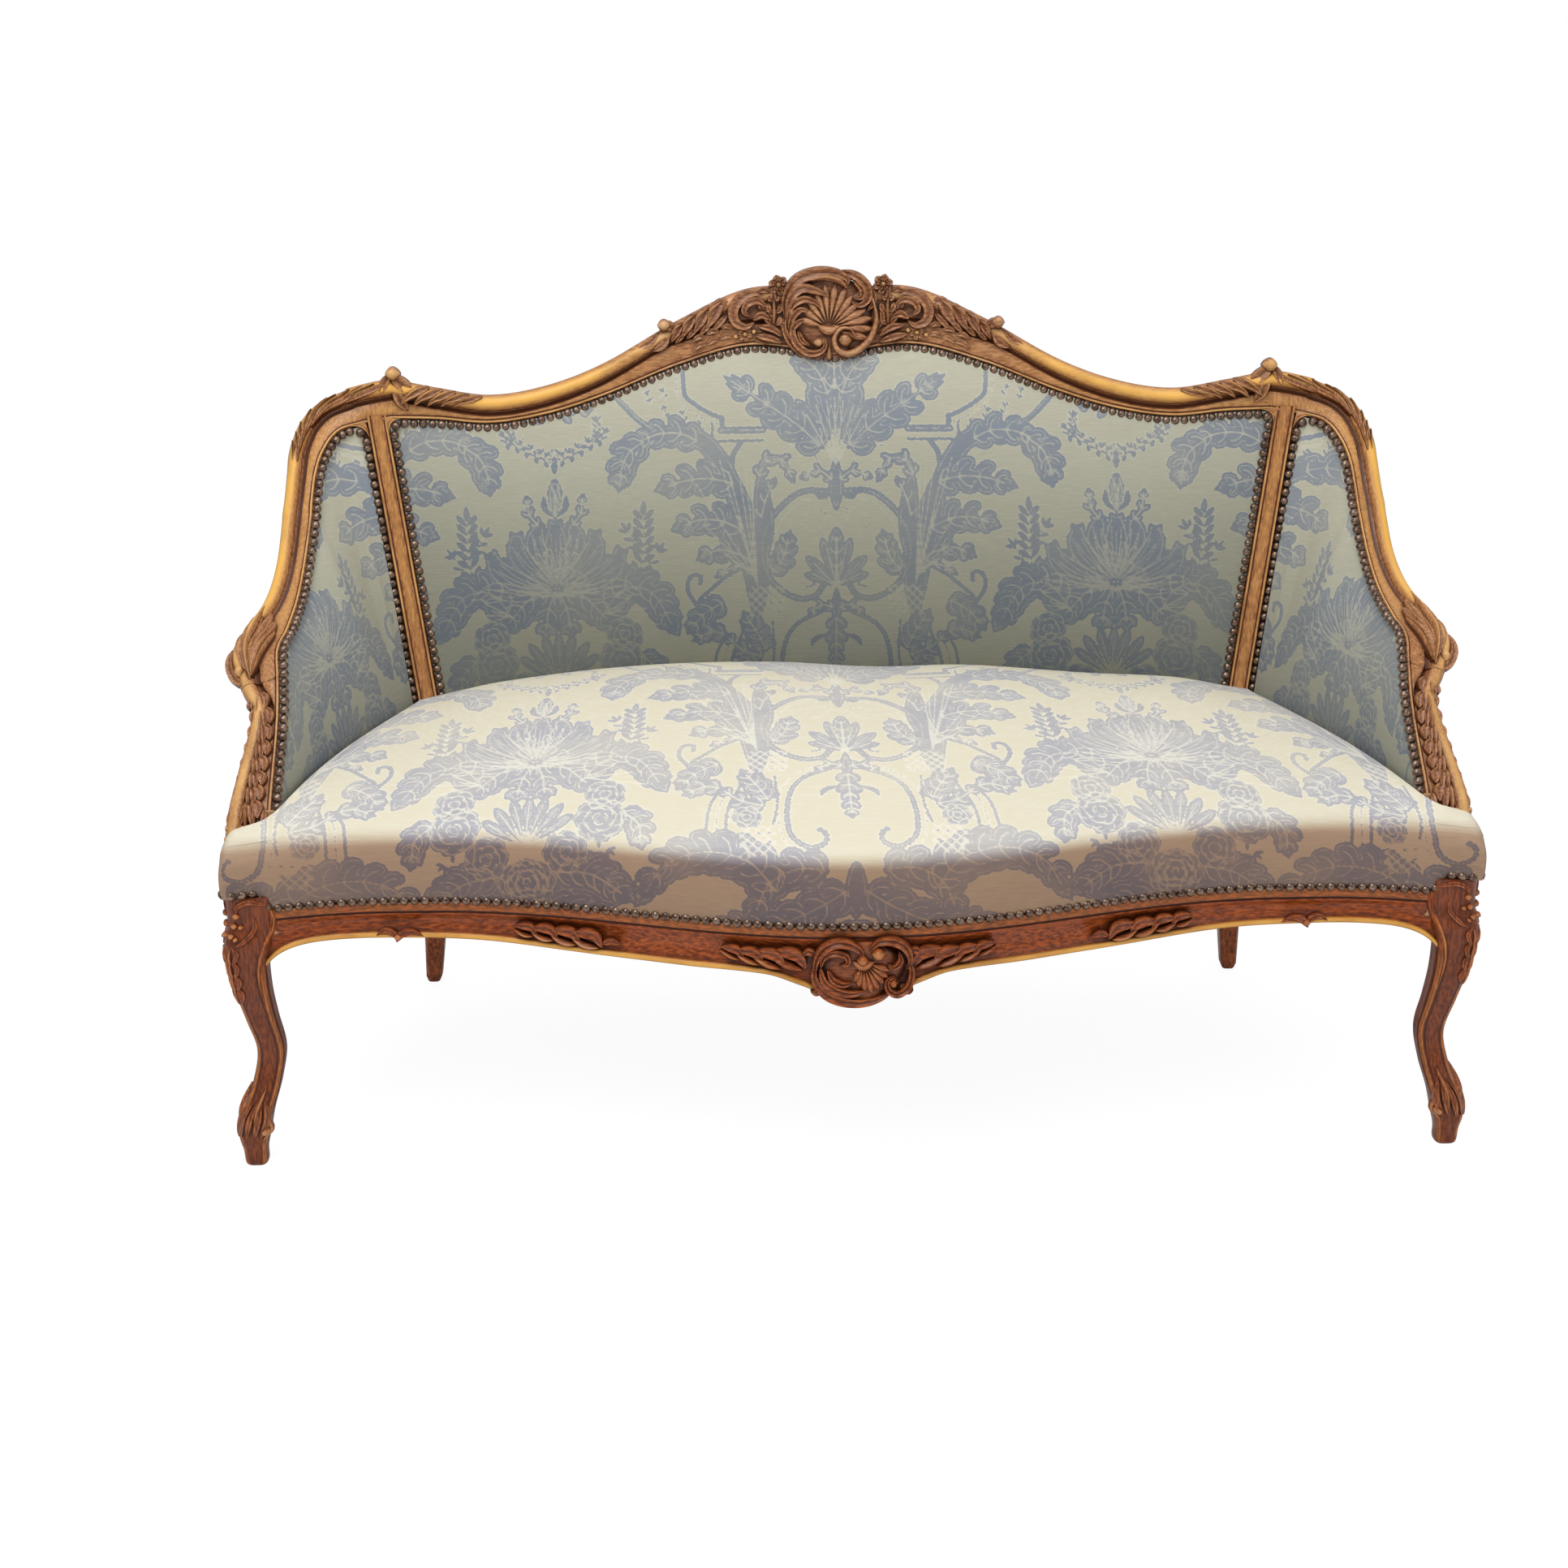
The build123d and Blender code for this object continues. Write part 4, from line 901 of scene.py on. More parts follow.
def arm_edges(shares) -> tuple[np.ndarray, np.ndarray]:
    """Inner and outer edges of the arm's moulding."""
    form = along(ARM_FORM, shares)
    x = lerp(POST_X, LEG_X, shares) + form[..., 0]
    height = form[..., 1]
    z = np.where(height > 0, lerp(ARM_Z, CORNER_Z, height), lerp(ARM_Z, RAIL_TOP, -height))
    inner = np.stack([x, lerp(POST_Y, LEG_Y, shares), z], -1)
    return inner, inner + form[..., 2:5]


def arm_run(shares: np.ndarray) -> Run:
    """Stations of the arm rail and its support; a place is the share of the way to the front leg."""
    inner, outer = arm_edges(shares)
    ahead, behind = arm_edges(shares + 0.004), arm_edges(shares - 0.004)
    run = unit(ahead[0] + ahead[1] - behind[0] - behind[1])
    across = outer - inner
    width = np.linalg.norm(across, axis=1)
    across = unit(across - (across * run).sum(1, keepdims=True) * run)
    return Run(shares, inner, across, np.cross(run, across), width)


def whole_arm() -> Run:
    """The arm from its joint with the crest rail down to the seat rail."""
    corner, arm = crest_run(np.array([CORNER_X])), arm_run(np.linspace(-0.075, SUPPORT_END, 460))
    start = Run(np.array([-0.115]), corner.origin, corner.across, corner.out, corner.width)
    share = smooth(0, 1, np.linspace(0, 1, 14)[:-1])[:, None]
    blend = [lerp(getattr(start, n), getattr(arm, n)[:1], share) for n in ("origin", "across", "out")]
    width = lerp(start.width, arm.width[:1], share[:, 0])
    return Run(np.linspace(-0.115, -0.075, 14)[:-1], blend[0], unit(blend[1]), unit(blend[2]),
               width).joined(arm)


def end_to_end(parts: Sequence, count: int) -> list[np.ndarray]:
    """Lay the parts of a section end to end.

    Args:
        parts: for each, two measures at every station, and patina and gilding at every point.
        count: how many stations there are.

    Returns:
        Both measures (stations, points), patina and gilding (points).
    """
    wide = [np.concatenate([np.broadcast_to(p[k], (count, np.shape(p[k])[1])) for p in parts],
                           1) for k in (0, 1)]
    return wide + [np.concatenate([np.asarray(p[k], float) for p in parts]) for k in (2, 3)]

def show_profile(width: np.ndarray, band: np.ndarray, tongue: float, rise: np.ndarray) -> tuple[np.ndarray,
                                                                                                np.ndarray]:
    """Section of a show rail at every station.

    From the fabric outward: a fine bead, a flat band, a deep cove, a shallow field where the rail
    is broad, and a round roll that is half an ellipse over its 21 mm with its top at half way.

    Args:
        width: the rail's width at each station.
        band: where its cove begins.
        tongue: wood that runs on behind the upholstery.
        rise: height of the roll.

    Returns:
        Points across and out of the face (stations, points, 2) and finish marks (points, 3).
    """
    w, b, r = width[:, None], band[:, None], rise[:, None]
    zero, turn = np.zeros_like(w), np.linspace(0, 1, 17)[None, :]
    field_x = b + COVE + (w - ROLL - b - COVE) * np.array([[0.02, 0.25, 0.5, 0.75, 0.98]])
    parts = [
        (zero + [[-tongue, -tongue, 0]], zero + [[-27, -9.5, -9.5]], [0.1] * 3, [0] * 3),
        (zero + [[0, 0]], zero + [[-6, -1.0]], [0.15, 0.3], [0] * 2),
        (zero + [[0.3, 1.0, 1.9, 2.8, 3.4]], zero + [[-0.2, 0.8, 1.1, 0.8, -0.1]], [0.5, 0.9, 1, 0.9, 0.4],
         [0.35] * 5),
        (zero + [[3.9, 4.6]], zero + [[-1.1, -1.1]], [0.05, 0.1], [0, 0]),
        (5.2 + (b - 5.2) * np.array([[0, 0.2, 0.5, 0.8, 1]]), zero + [[-0.1, 0.4, 0.6, 0.4, 0]],
         [0.6, 0.78, 0.8, 0.78, 0.6], [0.12, 0.3, 0.3, 0.25, 0.1]),
        (b + [[0.8, 2.2, 3.6, 5.0, 6.3]], zero + [[-1.4, -3.4, -4.2, -3.4, -1.0]],
         [0.35, 0.08, 0.0, 0.08, 0.35], [0] * 5),
        (field_x, zero + [[-0.2, -0.7, -0.9, -0.7, -0.2]], [0.5, 0.62, 0.65, 0.62, 0.5], [0] * 5),
        (w - ROLL + ROLL * turn, -4.5 * turn + (r + 2.25) * np.sqrt(np.maximum(0, 1 - (2 * turn - 1) ** 2)),
         0.45 + 0.5 * np.sin(math.pi * turn[0]), 0.9 * np.sin(math.pi * turn[0]) ** 0.6),
        (w - [[0.3, 1.0, 3.0, 7.0]], zero + [[-10, -16, -22, -27]], [0.5, 0.45, 0.4, 0.3], [0.3, 0.1, 0, 0]),
        ((w - 7) * np.array([[0.66, 0.33]]), zero + [[-27, -27]], [0.3, 0.3], [0, 0]),
    ]
    across, out, patina, gilt = end_to_end(parts, len(width))
    return np.stack([across, out], -1), np.column_stack([patina, gilt, np.zeros_like(gilt)])


def sweep(draft: Draft, run: Run, section: np.ndarray, marks: np.ndarray) -> None:
    """Add a closed section carried along a run."""
    points = run.origin[:, None] + run.across[:, None] * section[..., :1] + run.out[:, None] * section[...,
                                                                                                       1:]
    draft.grid(points, marks, closed=True, capped=True)


# ---- Carving ----
Place = Callable[[np.ndarray, np.ndarray, np.ndarray], np.ndarray]


class Form(Enum):
    """Cross-section of a carved lobe."""

    DOME = "rounded"
    HOLLOW = "hollowed, with raised rims"
    RIDGE = "ridged"


@dataclass
class Carver:
    """Cuts lobes, leaves and flowers on a face of the frame.

    A lobe is a tapered strip along a curved line. Across it the height follows its form; along it
    the height rises quickly from each end; its edges are sunk below the face so no gap shows.
    """

    draft: Draft
    face: Place
    warmth: float = 0.0
    gilt: float = 0.0
    mirror: bool = False
    # share of the patina kept; below 1 it darkens a lobe as painted shade
    tone: float = 1.0

    def cut(self, rows: str) -> None:
        """Cut rows of text: a button, a rosette or a lobe's form, with its sizes and points."""
        for word, sizes, points in drawn_rows(rows):
            if word in ("button", "rosette"):
                getattr(self, word)(points[0], *sizes)
            else:
                self.lobe(points, Form[word.upper()], *sizes)

    def lobe(self, points, form: Form, width: float, height: float, lift: float = 0.0, belly: float = 0.5,
             tip: float = 0.0, rows: int = 15, blunt: float = 0.0) -> None:
        """Cut one lobe.

        Args:
            points: line on the face that it follows.
            form: its cross-section.
            width: full width at its broadest.
            height: how far it stands above its base.
            lift: level of its base above the face.
            belly: where along it the broadest place is.
            tip: how far its far end curls up off the face.
            rows: stations along it.
            blunt: least half width of its ends, as a share of the full half width.
        """
        if self.mirror:
            for side in (1, -1):
                line = [(p[0] * side, *p[1:]) for p in points]
                replace(self, mirror=False).lobe(line, form, width, height, lift, belly, tip, rows, blunt)
            return
        line = spline([p[:2] for p in points], rows)
        share = np.linspace(0, 1, rows)
        way = unit(np.gradient(line, axis=0))
        square = np.column_stack([-way[:, 1], way[:, 0]])
        taper = np.sin(math.pi * np.clip(share, 0.012, 0.988) ** (math.log(0.5) / math.log(belly))) ** 0.62
        half = width / 2 * np.maximum(taper, max(blunt, 0.04))
        v = np.linspace(-1, 1, 9)
        dome = np.sqrt(np.maximum(0, 1 - v**2))
        if form is Form.HOLLOW:
            cross = (1 - v**6) * (0.42 + 0.62 * np.abs(v) ** 1.3)
            patina = 0.25 + 0.75 * np.abs(v) ** 1.2
        elif form is Form.RIDGE:
            cross = 0.9 * (1 - np.abs(v) ** 1.15) + 0.12 * dome
            patina = 0.35 + 0.65 * (1 - np.abs(v))
        else:
            cross, patina = dome, 0.3 + 0.68 * dome
        patina[[0, -1]] = 0.05
        rise = np.minimum(1, 3.2 * share * (1 - share) + 0.25) if blunt == 0 else np.ones(rows)
        level = lift + tip * share**2
        top = level[:, None] + height * rise[:, None] * cross[None, :]
        top[:, 0], top[:, -1] = level - 0.5, level - 0.5
        v = np.concatenate([v, [0.9, -0.9]])
        out = np.concatenate([top, np.full((rows, 2), -3.0)], 1)
        s = line[:, :1] + square[:, :1] * half[:, None] * v
        t = line[:, 1:2] + square[:, 1:2] * half[:, None] * v
        marks = np.zeros((rows, 11, 3))
        marks[..., 0] = self.tone * np.concatenate([patina, [0.05, 0.05]])
        marks[..., 1] = self.gilt * marks[..., 0] ** 2
        marks[..., 2] = self.warmth
        self.draft.grid(self.face(s, t, out), marks, closed=True, capped=True)

    def leaf(self, spine, lobes: int, reach: float, width: float, height: float, lift: float = 0.0,
             sides: Sequence[int] = (-1, 1), turn: float = 48.0) -> None:
        """An acanthus leaf: hollow lobes curling forward from a ridged spine."""
        line = spline(spine, 40)
        way = unit(np.gradient(line, axis=0))
        for index in range(lobes):
            share = 0.05 + 0.82 * index / max(1, lobes - 1)
            start, ahead = line[int(share * 39)], way[int(share * 39)]
            size = reach * (0.5 + 0.5 * math.sin(math.pi * min(1.0, 0.3 + share * 0.75)))
            for side in sides:
                first = start + size * 0.52 * turned(ahead, side * (turn + 14))
                last = first + size * 0.6 * turned(ahead, side * (turn - 34))
                self.lobe([start, first, last], Form.HOLLOW, width, height, lift, 0.6, 1.2)
        self.lobe(spine, Form.RIDGE, width * 0.75, height * 1.25, lift + 0.5, 0.4)
        self.lobe([line[-5], line[-1] + way[-1] * reach * 0.45], Form.HOLLOW, width, height, lift, 0.5, 2)

    def button(self, centre, radius: float, height: float, lift: float = 0.0) -> None:
        """A round boss."""
        x, y = centre
        self.lobe([(x - radius, y), (x, y), (x + radius, y)], Form.DOME, radius * 2, height, lift, 0.5, 0, 11)

    def rosette(self, centre, radius: float, petals: int, height: float, lift: float = 0.0) -> None:
        """Petals round a button."""
        c = np.asarray(centre, float)
        for index in range(petals):
            angle = 2 * math.pi * (index + 0.25) / petals
            way = np.array([math.cos(angle), math.sin(angle)]) * radius
            self.lobe([c + way * 0.15, c + way * 0.6, c + way], Form.HOLLOW, radius * 0.78, height * 0.7,
                      lift,
                      0.62, height * 0.25)
        self.button(c, radius * 0.36, height, lift)

    def fan(self, cup, reach: Sequence[float], angles: Sequence[float], width: float, height: float,
            lift: float) -> None:
        """Flutes that spread from a cup; angles in degrees from straight up, clockwise."""
        c = np.asarray(cup, float)
        for length, angle in zip(reach, np.radians(angles)):
            way = np.array([math.sin(angle), math.cos(angle)])
            line = [c + way * 6, c + way * length * 0.55, c + way * length]
            self.lobe(line, Form.DOME, width, height, lift, 0.7, 1.5)

def crest_face(x, z, out) -> np.ndarray:
    """A point over the raked, bowed face of the back frame."""
    x, z, out = np.broadcast_arrays(x, z, out)
    return np.stack([x, back_y(x, z), z], -1) + out[..., None] * OUT_FACE


def apron_face(x, z, out) -> np.ndarray:
    """A point in front of the serpentine face of the front rail."""
    x, z, out = np.broadcast_arrays(x, z, out)
    return np.stack([x, front_curve(x) - out, z], -1)


# ---- Wooden frame ----
CREST_SHELL = """
hollow 19 12 5 0.55 4 40: -61 915, -60 940, -47 962, -22 972, 6 972, 22 964, 19 954
ridge 9 12 10 0.6 3 24: -30 962, -8 967, 12 962, 21 953
hollow 15 11 4 0.45 4 32: 8 975, 32 969, 47 955, 49 940, 38 931, 27 936
hollow 10 11 9 0.5 3 20: 30 962, 41 951, 40 941, 31 941
hollow 9 9 5 0.5 2 18: 46 962, 55 948, 56 934, 48 924
# leaf that curls up on the left of the cup, and the long scroll that winds round the right button
hollow 11 9 3 0.5 2 28: -60 922, -62 902, -53 884, -37 870, -18 866
hollow 12 10 6 0.4 3 36: -42 913, -51 901, -47 884, -34 872, -20 870, -9 877, -10 888, -18 892
hollow 8 8 6 0.5 2: -44 900, -38 886, -28 880
button 7 11 6: -17 884
dome 10.5 10 5 0.5 2 52 0.35: 55 940, 60 914, 53 891, 39 876, 22 869, 8 875, 4 889, 12 901, 25 901, 32 890
button 9.5 12 6: 18 887
hollow 9 7 2 0.5 2: 60 904, 68 914, 66 928
ridge 11 9 4 0.4: -3 862, -3 872, -2 882
"""
CREST_SCROLLS = """
rosette 13.5 6 9 5: 69 958
rosette 8.5 5 12 7: 69 958
hollow 9 7 3 0.5 2: 80 948, 88 952, 96 949
"""
CREST_SCROLLS_2 = """
hollow 15 8 3 0.5 2: 206 902, 216 908, 224 902
button 8.5 11 5: 221 909
hollow 12 7 2 0.5 1: 214 896, 222 884, 236 876
hollow 10 7 2 0.5 1: 228 900, 240 887, 256 878
"""
CREST_CORNERS = """
hollow 19 12 1 0.5 4: 546 828, 560 840, 570 850, 574 858
hollow 16 10 0 0.5 4: 556 808, 566 824, 572 842
hollow 14 10 2 0.5 3: 590 830, 584 844, 576 856
button 9.5 13 7: 573 856
"""


@dataclass
class CrestRail:
    """Serpentine top rail with its shell, rosettes and leaves."""

    reach: float = CORNER_X

    def draw(self) -> Draft:
        """Moulding first, then the carving on its face."""
        run = crest_run(np.linspace(-self.reach, self.reach, 420))
        middle = smooth(330, 200, np.abs(run.places))
        band = np.minimum(run.width - ROLL - COVE - 0.6, 27.0)
        section, marks = show_profile(run.width, band, 12.0, 9.0 - 4.5 * middle)
        draft = Draft("crest_rail_carved")
        finish = np.broadcast_to(marks, (len(run.places), *marks.shape)).copy()
        finish[..., 1] *= 1 - 0.75 * middle[:, None]
        sweep(draft, run, section, finish)
        self._shell(Carver(draft, crest_face))
        both = Carver(draft, crest_face, mirror=True)
        self._scrolls(both)
        self._sprays(both)
        self._corners(both)
        return draft

    def _shell(self, c: Carver) -> None:
        """The off-centre rocaille shell."""
        # painted shade: the sunk ground behind the flutes is darkened, and the flutes a little
        c.tone = 0.42
        c.lobe([(0, 870), (-1, 925), (-2, 975)], Form.DOME, 112, 6, 0, 0.5, 0.0, 27, 0.45)
        c.tone = 0.86
        angles = [-72, -54, -37, -20, -5, 9, 23, 37, 51, 64, 77, 91, 105]
        reach = [40, 43, 46, 51, 56, 58, 57, 52, 50, 54, 58, 58, 54]
        c.fan((-3, 902), reach, angles, 11.5, 6.5, 5)
        c.lobe([(-17, 905), (-3, 899), (12, 905)], Form.DOME, 14, 9, 8)
        c.tone = 1.0
        # nested crescents of the wing on the left, the lowest first
        for lobe, width, lift in (([(-54, 892), (-49, 905), (-39, 912), (-32, 911)], 10, 5),
                                  ([(-56, 898), (-51, 916), (-40, 926), (-27, 923)], 11, 6),
                                  ([(-57, 905), (-53, 929), (-38, 939), (-22, 936), (-12, 927)], 12,
                                   7), ([(-57, 914), (-54, 939), (-39, 953), (-19, 950), (-3, 943)], 15, 8)):
            c.lobe(lobe, Form.HOLLOW, width, 10, lift, 0.5, 3, 26)
        # the leaf that arches over the shell, its tip folded down, and the hooked leaf on the right
        c.cut(CREST_SHELL)
        for side in (-1, 1):
            c.lobe([(-3, 866), (-3 + side * 12, 868), (-3 + side * 24, 863)], Form.HOLLOW, 8, 6, 2, 0.5, 1)

    def _scrolls(self, c: Carver) -> None:
        """Rosettes, C-leaves and the row of lobes that ends in a curled bud."""
        c.cut(CREST_SCROLLS)
        c.leaf([(76, 906), (75, 928), (76, 944)], 3, 15, 9, 6, 3)
        c.leaf([(62, 896), (84, 910), (92, 930)], 3, 17, 9, 6, 2, (1,))
        c.lobe([(82, 944), (98, 949), (117, 943), (129, 927), (126, 911), (112, 905), (102, 911)],
               Form.HOLLOW, 17, 10, 2, 0.5, 2, 38)
        c.lobe([(84, 930), (96, 938), (110, 935), (115, 925), (108, 918)], Form.HOLLOW, 12, 9, 4, 0.5, 2, 26)
        for lobe in ([(64, 892), (78, 902), (96, 906)], [(64, 884), (80, 890), (100, 894)],
                     [(80, 914), (92, 920), (103, 914)]):
            c.lobe(lobe, Form.HOLLOW, 11, 9, 5, 0.55, 2)
        for x, z, size in ((148, 921, 1.1), (166, 914, 1.0), (184, 907, 0.9), (200, 899, 0.75)):
            c.lobe([(x - 12 * size, z + 13 * size), (x - 2, z + 13 * size), (x + 6 * size, z - 1 * size),
                    (x + 15 * size, z - 15 * size)], Form.HOLLOW, 16 * size, 8, 3, 0.42, 2, 20)
            c.lobe([(x - 4, z + 16 * size), (x + 8 * size, z + 7 * size), (x + 16 * size, z - 6 * size)],
                   Form.RIDGE, 8 * size, 8, 5)
            c.lobe([(x - 10 * size, z), (x - 2 * size, z - 8 * size), (x + 8 * size, z - 18 * size)],
                   Form.HOLLOW, 9 * size, 6, 2, 0.5, 1)
        c.cut(CREST_SCROLLS_2)

    def _sprays(self, c: Carver) -> None:
        """Small flowers and leaves along the lower band."""
        c.gilt = 0.3
        for x, z, dx, dz in ((66, 884, 20, 3), (82, 896, 17, 3), (82, 883, 19, 4), (130, 893, 18, -4),
                             (130, 903, 16, 1),
                             (147, 889, 18, -7), (148, 899, 17, -3), (164, 884, 20, -9), (166, 893, 18, -6)):
            c.lobe([(x, z), (x + dx * 0.5, z + dz * 0.5 + 3.5), (x + dx, z + dz)], Form.HOLLOW, 9, 4.8, 0.3,
                   0.45, 1)
        c.rosette((114, 896), 10, 6, 6, 0.8)
        c.button((102, 899), 4, 4.5, 0.8)
        c.button((126, 893), 3.8, 4.5, 0.8)
        c.gilt = 0.0

    def _corners(self, c: Carver) -> None:
        """Leaves along the roll towards the corner, ending in the curled nub over it."""
        c.gilt = 0.35
        for index, x in enumerate((474, 491, 508, 525, 542)):
            z, w = crest_edge(np.array(float(x)))
            top = float(z + w)
            size = 0.75 + 0.1 * index
            c.lobe([(x - 14, top - 4), (x + 2, top - 5 - 5 * size), (x + 13, top - 14 * size),
                    (x + 22, top - 22 * size)], Form.HOLLOW, 11.5 * size, 6.5, 7, 0.4, 1)
            c.lobe([(x - 6, top - 3), (x + 8, top - 9 * size), (x + 18, top - 17 * size)], Form.RIDGE,
                   6 * size, 6.5, 7.5)
        c.cut(CREST_CORNERS)
        c.gilt = 0.0


@dataclass
class Arm:
    """One arm: the rail that falls from the corner in an S, its scroll, and the support below it."""

    def draw(self) -> tuple[Draft, Draft]:
        """The rail and the support, drawn on one run so that their mouldings meet."""
        run = whole_arm()
        pieces = []
        for name, low, high in (("arm_rail", -0.2, ARM_JOINT + 0.003),
                                ("arm_support", ARM_JOINT - 0.001, 1.0)):
            keep = (run.places >= low) & (run.places <= high + 1e-6)
            part = Run(*[getattr(run, n)[keep] for n in ("places", "origin", "across", "out", "width")])
            band = np.maximum(np.minimum(part.width - ROLL - COVE - 0.6, 24.0), 5.6)
            section, marks = show_profile(part.width, band, 0.0, np.full(len(part.places), 9.0))
            draft = Draft(f"{name}_carved")
            finish = np.broadcast_to(marks, (len(part.places), *marks.shape)).copy()
            fade = smooth(0.42, 0.56, part.places) * 0.75
            finish[..., 1] *= (1.15 - fade)[:, None]
            sweep(draft, part, section, np.clip(finish, 0, 1))
            pieces.append(draft)
        self._corner(_Along(pieces[0], run))
        self._scroll(_Along(pieces[0], run))
        self._support(_Along(pieces[1], run))
        # the support's tenon, seen in the gap behind the seat's corner
        foot = [(688, -262), (716, -262), (716, -232), (688, -232)]
        tenon = np.stack([np.array([(x, y, z) for x, y in foot]) for z in (336.0, 391.0)])
        pieces[1].grid(tenon, (0.3, 0.0, 0.3), closed=True, capped=True)
        return pieces[0], pieces[1]

    def _corner(self, c: _Along) -> None:
        """Leaves that start at the corner and run down the roll."""
        c.gilt = 0.35
        for index, share in enumerate((-0.098, -0.078, -0.060, -0.042, -0.026, -0.011, 0.004)):
            size = 1.0 - 0.08 * index
            outer = c.width(share) - 4
            c.lobe([(share - 0.012, outer), (share, outer - 7), (share + 0.014, outer - 13),
                    (share + 0.034, outer - 17)], Form.HOLLOW, 9 * size, 5, 7.5, 0.45, 1)
            c.lobe([(share, outer), (share + 0.014, outer - 6), (share + 0.034, outer - 11)], Form.RIDGE,
                   5 * size, 5, 8)
        c.gilt = 0.0

    def _scroll(self, c: _Along) -> None:
        """Acanthus over the scroll where the arm turns down."""
        c.gilt = 0.3
        root = np.array([0.592, 33.0])
        for share, across in ((0.372, 41), (0.392, 27), (0.398, 52), (0.432, 18), (0.428, 60), (0.478, 14),
                              (0.474, 65)):
            tip = np.array([share, min(across, c.width(share) - 5)])
            belly = np.array([lerp(share, root[0], 0.5), lerp(tip[1], root[1], 0.3)])
            c.lobe([tuple(tip), tuple(belly), tuple(root)], Form.HOLLOW, 15, 7, 4.5, 0.4, 2, 26)
        c.lobe([(0.36, 38), (0.44, 40), (0.52, 40), (0.6, 34)], Form.RIDGE, 8, 9, 7.5, 0.5, 0.0, 28)
        c.lobe([(0.53, 58), (0.565, 60), (0.595, 50), (0.604, 36)], Form.HOLLOW, 12, 9, 3, 0.5, 2, 20)
        c.button_at(0.578, 47, 7, 9, 6)
        c.gilt = 0.0

    def _support(self, c: _Along) -> None:
        """Husks down the support and the small moulding at its foot."""
        for index in range(8):
            share = 0.628 + 0.0325 * index
            middle, size = c.width(share) * 0.56, 0.86 + 0.05 * index
            for side in (-1, 1):
                c.lobe([(share, middle + side * 2), (share + 0.014, middle + side * 11 * size),
                        (share + 0.036, middle + side * 12 * size)], Form.HOLLOW, 11 * size, 6, 2.6, 0.55, 2)
                c.lobe([(share + 0.004, middle + side), (share + 0.02, middle + side * 5 * size),
                        (share + 0.044, middle + side * 6 * size)], Form.HOLLOW, 8 * size, 6.5, 3.4, 0.55, 1)
            c.lobe([(share + 0.004, middle), (share + 0.05, middle)], Form.RIDGE, 6.5 * size, 8, 4.2)
        for share, height in ((0.905, 4), (0.919, 7)):
            c.lobe([(share, 1), (share, 26), (share, 51)], Form.DOME, 7.5, height, 3, 0.5, 0, 15, 0.9)
        for side in (6, 20, 34, 47):
            c.lobe([(0.875, side), (0.903, side)], Form.HOLLOW, 9, 5, 3, 0.6, 1)


@dataclass
class _Along(Carver):
    """A carver on a moulded run: places along it are shares, turned to millimetres for the shapes."""

    def __init__(self, draft: Draft, run: Run, warmth: float = 0.0) -> None:
        super().__init__(draft, self._point, warmth)
        self.run = run
        middle = run.origin + run.across * run.width[:, None] / 2
        steps = np.linalg.norm(np.diff(middle, axis=0), axis=1)
        self.length = np.concatenate([[0.0], np.cumsum(steps)])

    def _point(self, s, t, out) -> np.ndarray:
        """A point from the millimetres run along the rail, across it and out of it."""
        return self.run.at(np.interp(s, self.length, self.run.places), t, out)

    def width(self, share: float) -> float:
        """Width of the rail at a share."""
        return float(np.interp(share, self.run.places, self.run.width))

    def lobe(self, points, *args, **options) -> None:
        """Cut a lobe whose line is given in shares along the run and millimetres across it."""
        line = [(float(np.interp(p[0], self.run.places, self.length)), p[1]) for p in points]
        super().lobe(line, *args, **options)

    def button_at(self, share: float, across: float, radius: float, height: float, lift: float) -> None:
        """A round boss at a share along the run."""
        at = float(np.interp(share, self.run.places, self.length))
        super().lobe([(at - radius, across), (at, across), (at + radius, across)], Form.DOME, radius * 2,
                     height, lift)


APRON_SHELL = """
hollow 13 11 4 0.55 3 38: -50 262, -49 280, -41 295, -25 303, -8 300, 2 291, -2 283
hollow 9 9 6 0.5 2 28: -44 272, -40 286, -28 292, -15 288, -14 279, -23 276
# leaves that sweep under the flutes, one within the other
hollow 14 10 3 0.45 3 38: -51 276, -50 257, -40 242, -21 233, 4 231, 25 236, 37 244
hollow 12 10 6 0.45 3 28: -44 272, -40 257, -27 247, -9 243, 6 246
hollow 9 9 6 0.45 2: -36 270, -30 259, -18 254, -8 256
# the right side: a bead under a smaller scroll, a leaf down the edge, and a volute
hollow 12 10 4 0.5 3 32: 10 291, 20 302, 37 304, 52 295, 57 281, 54 270
button 7.5 11 7: 21 290
hollow 8 9 6 0.5 2: 44 291, 46 280, 38 273, 32 277
hollow 10 10 4 0.45 2 38: 56 280, 59 264, 55 248, 43 240, 33 245, 31 256, 38 261, 43 255
button 5 10 6: 38 254
"""
APRON_SPRAYS = """
hollow 9 5 1 0.5 1: 292 278, 282 283, 270 281
hollow 11 6 0 0.6 2: 500 276, 514 282, 526 279, 532 270
hollow 9 5 0 0.6 2: 556 277, 545 284, 534 280, 530 271
button 5 6 1: 530 276
"""


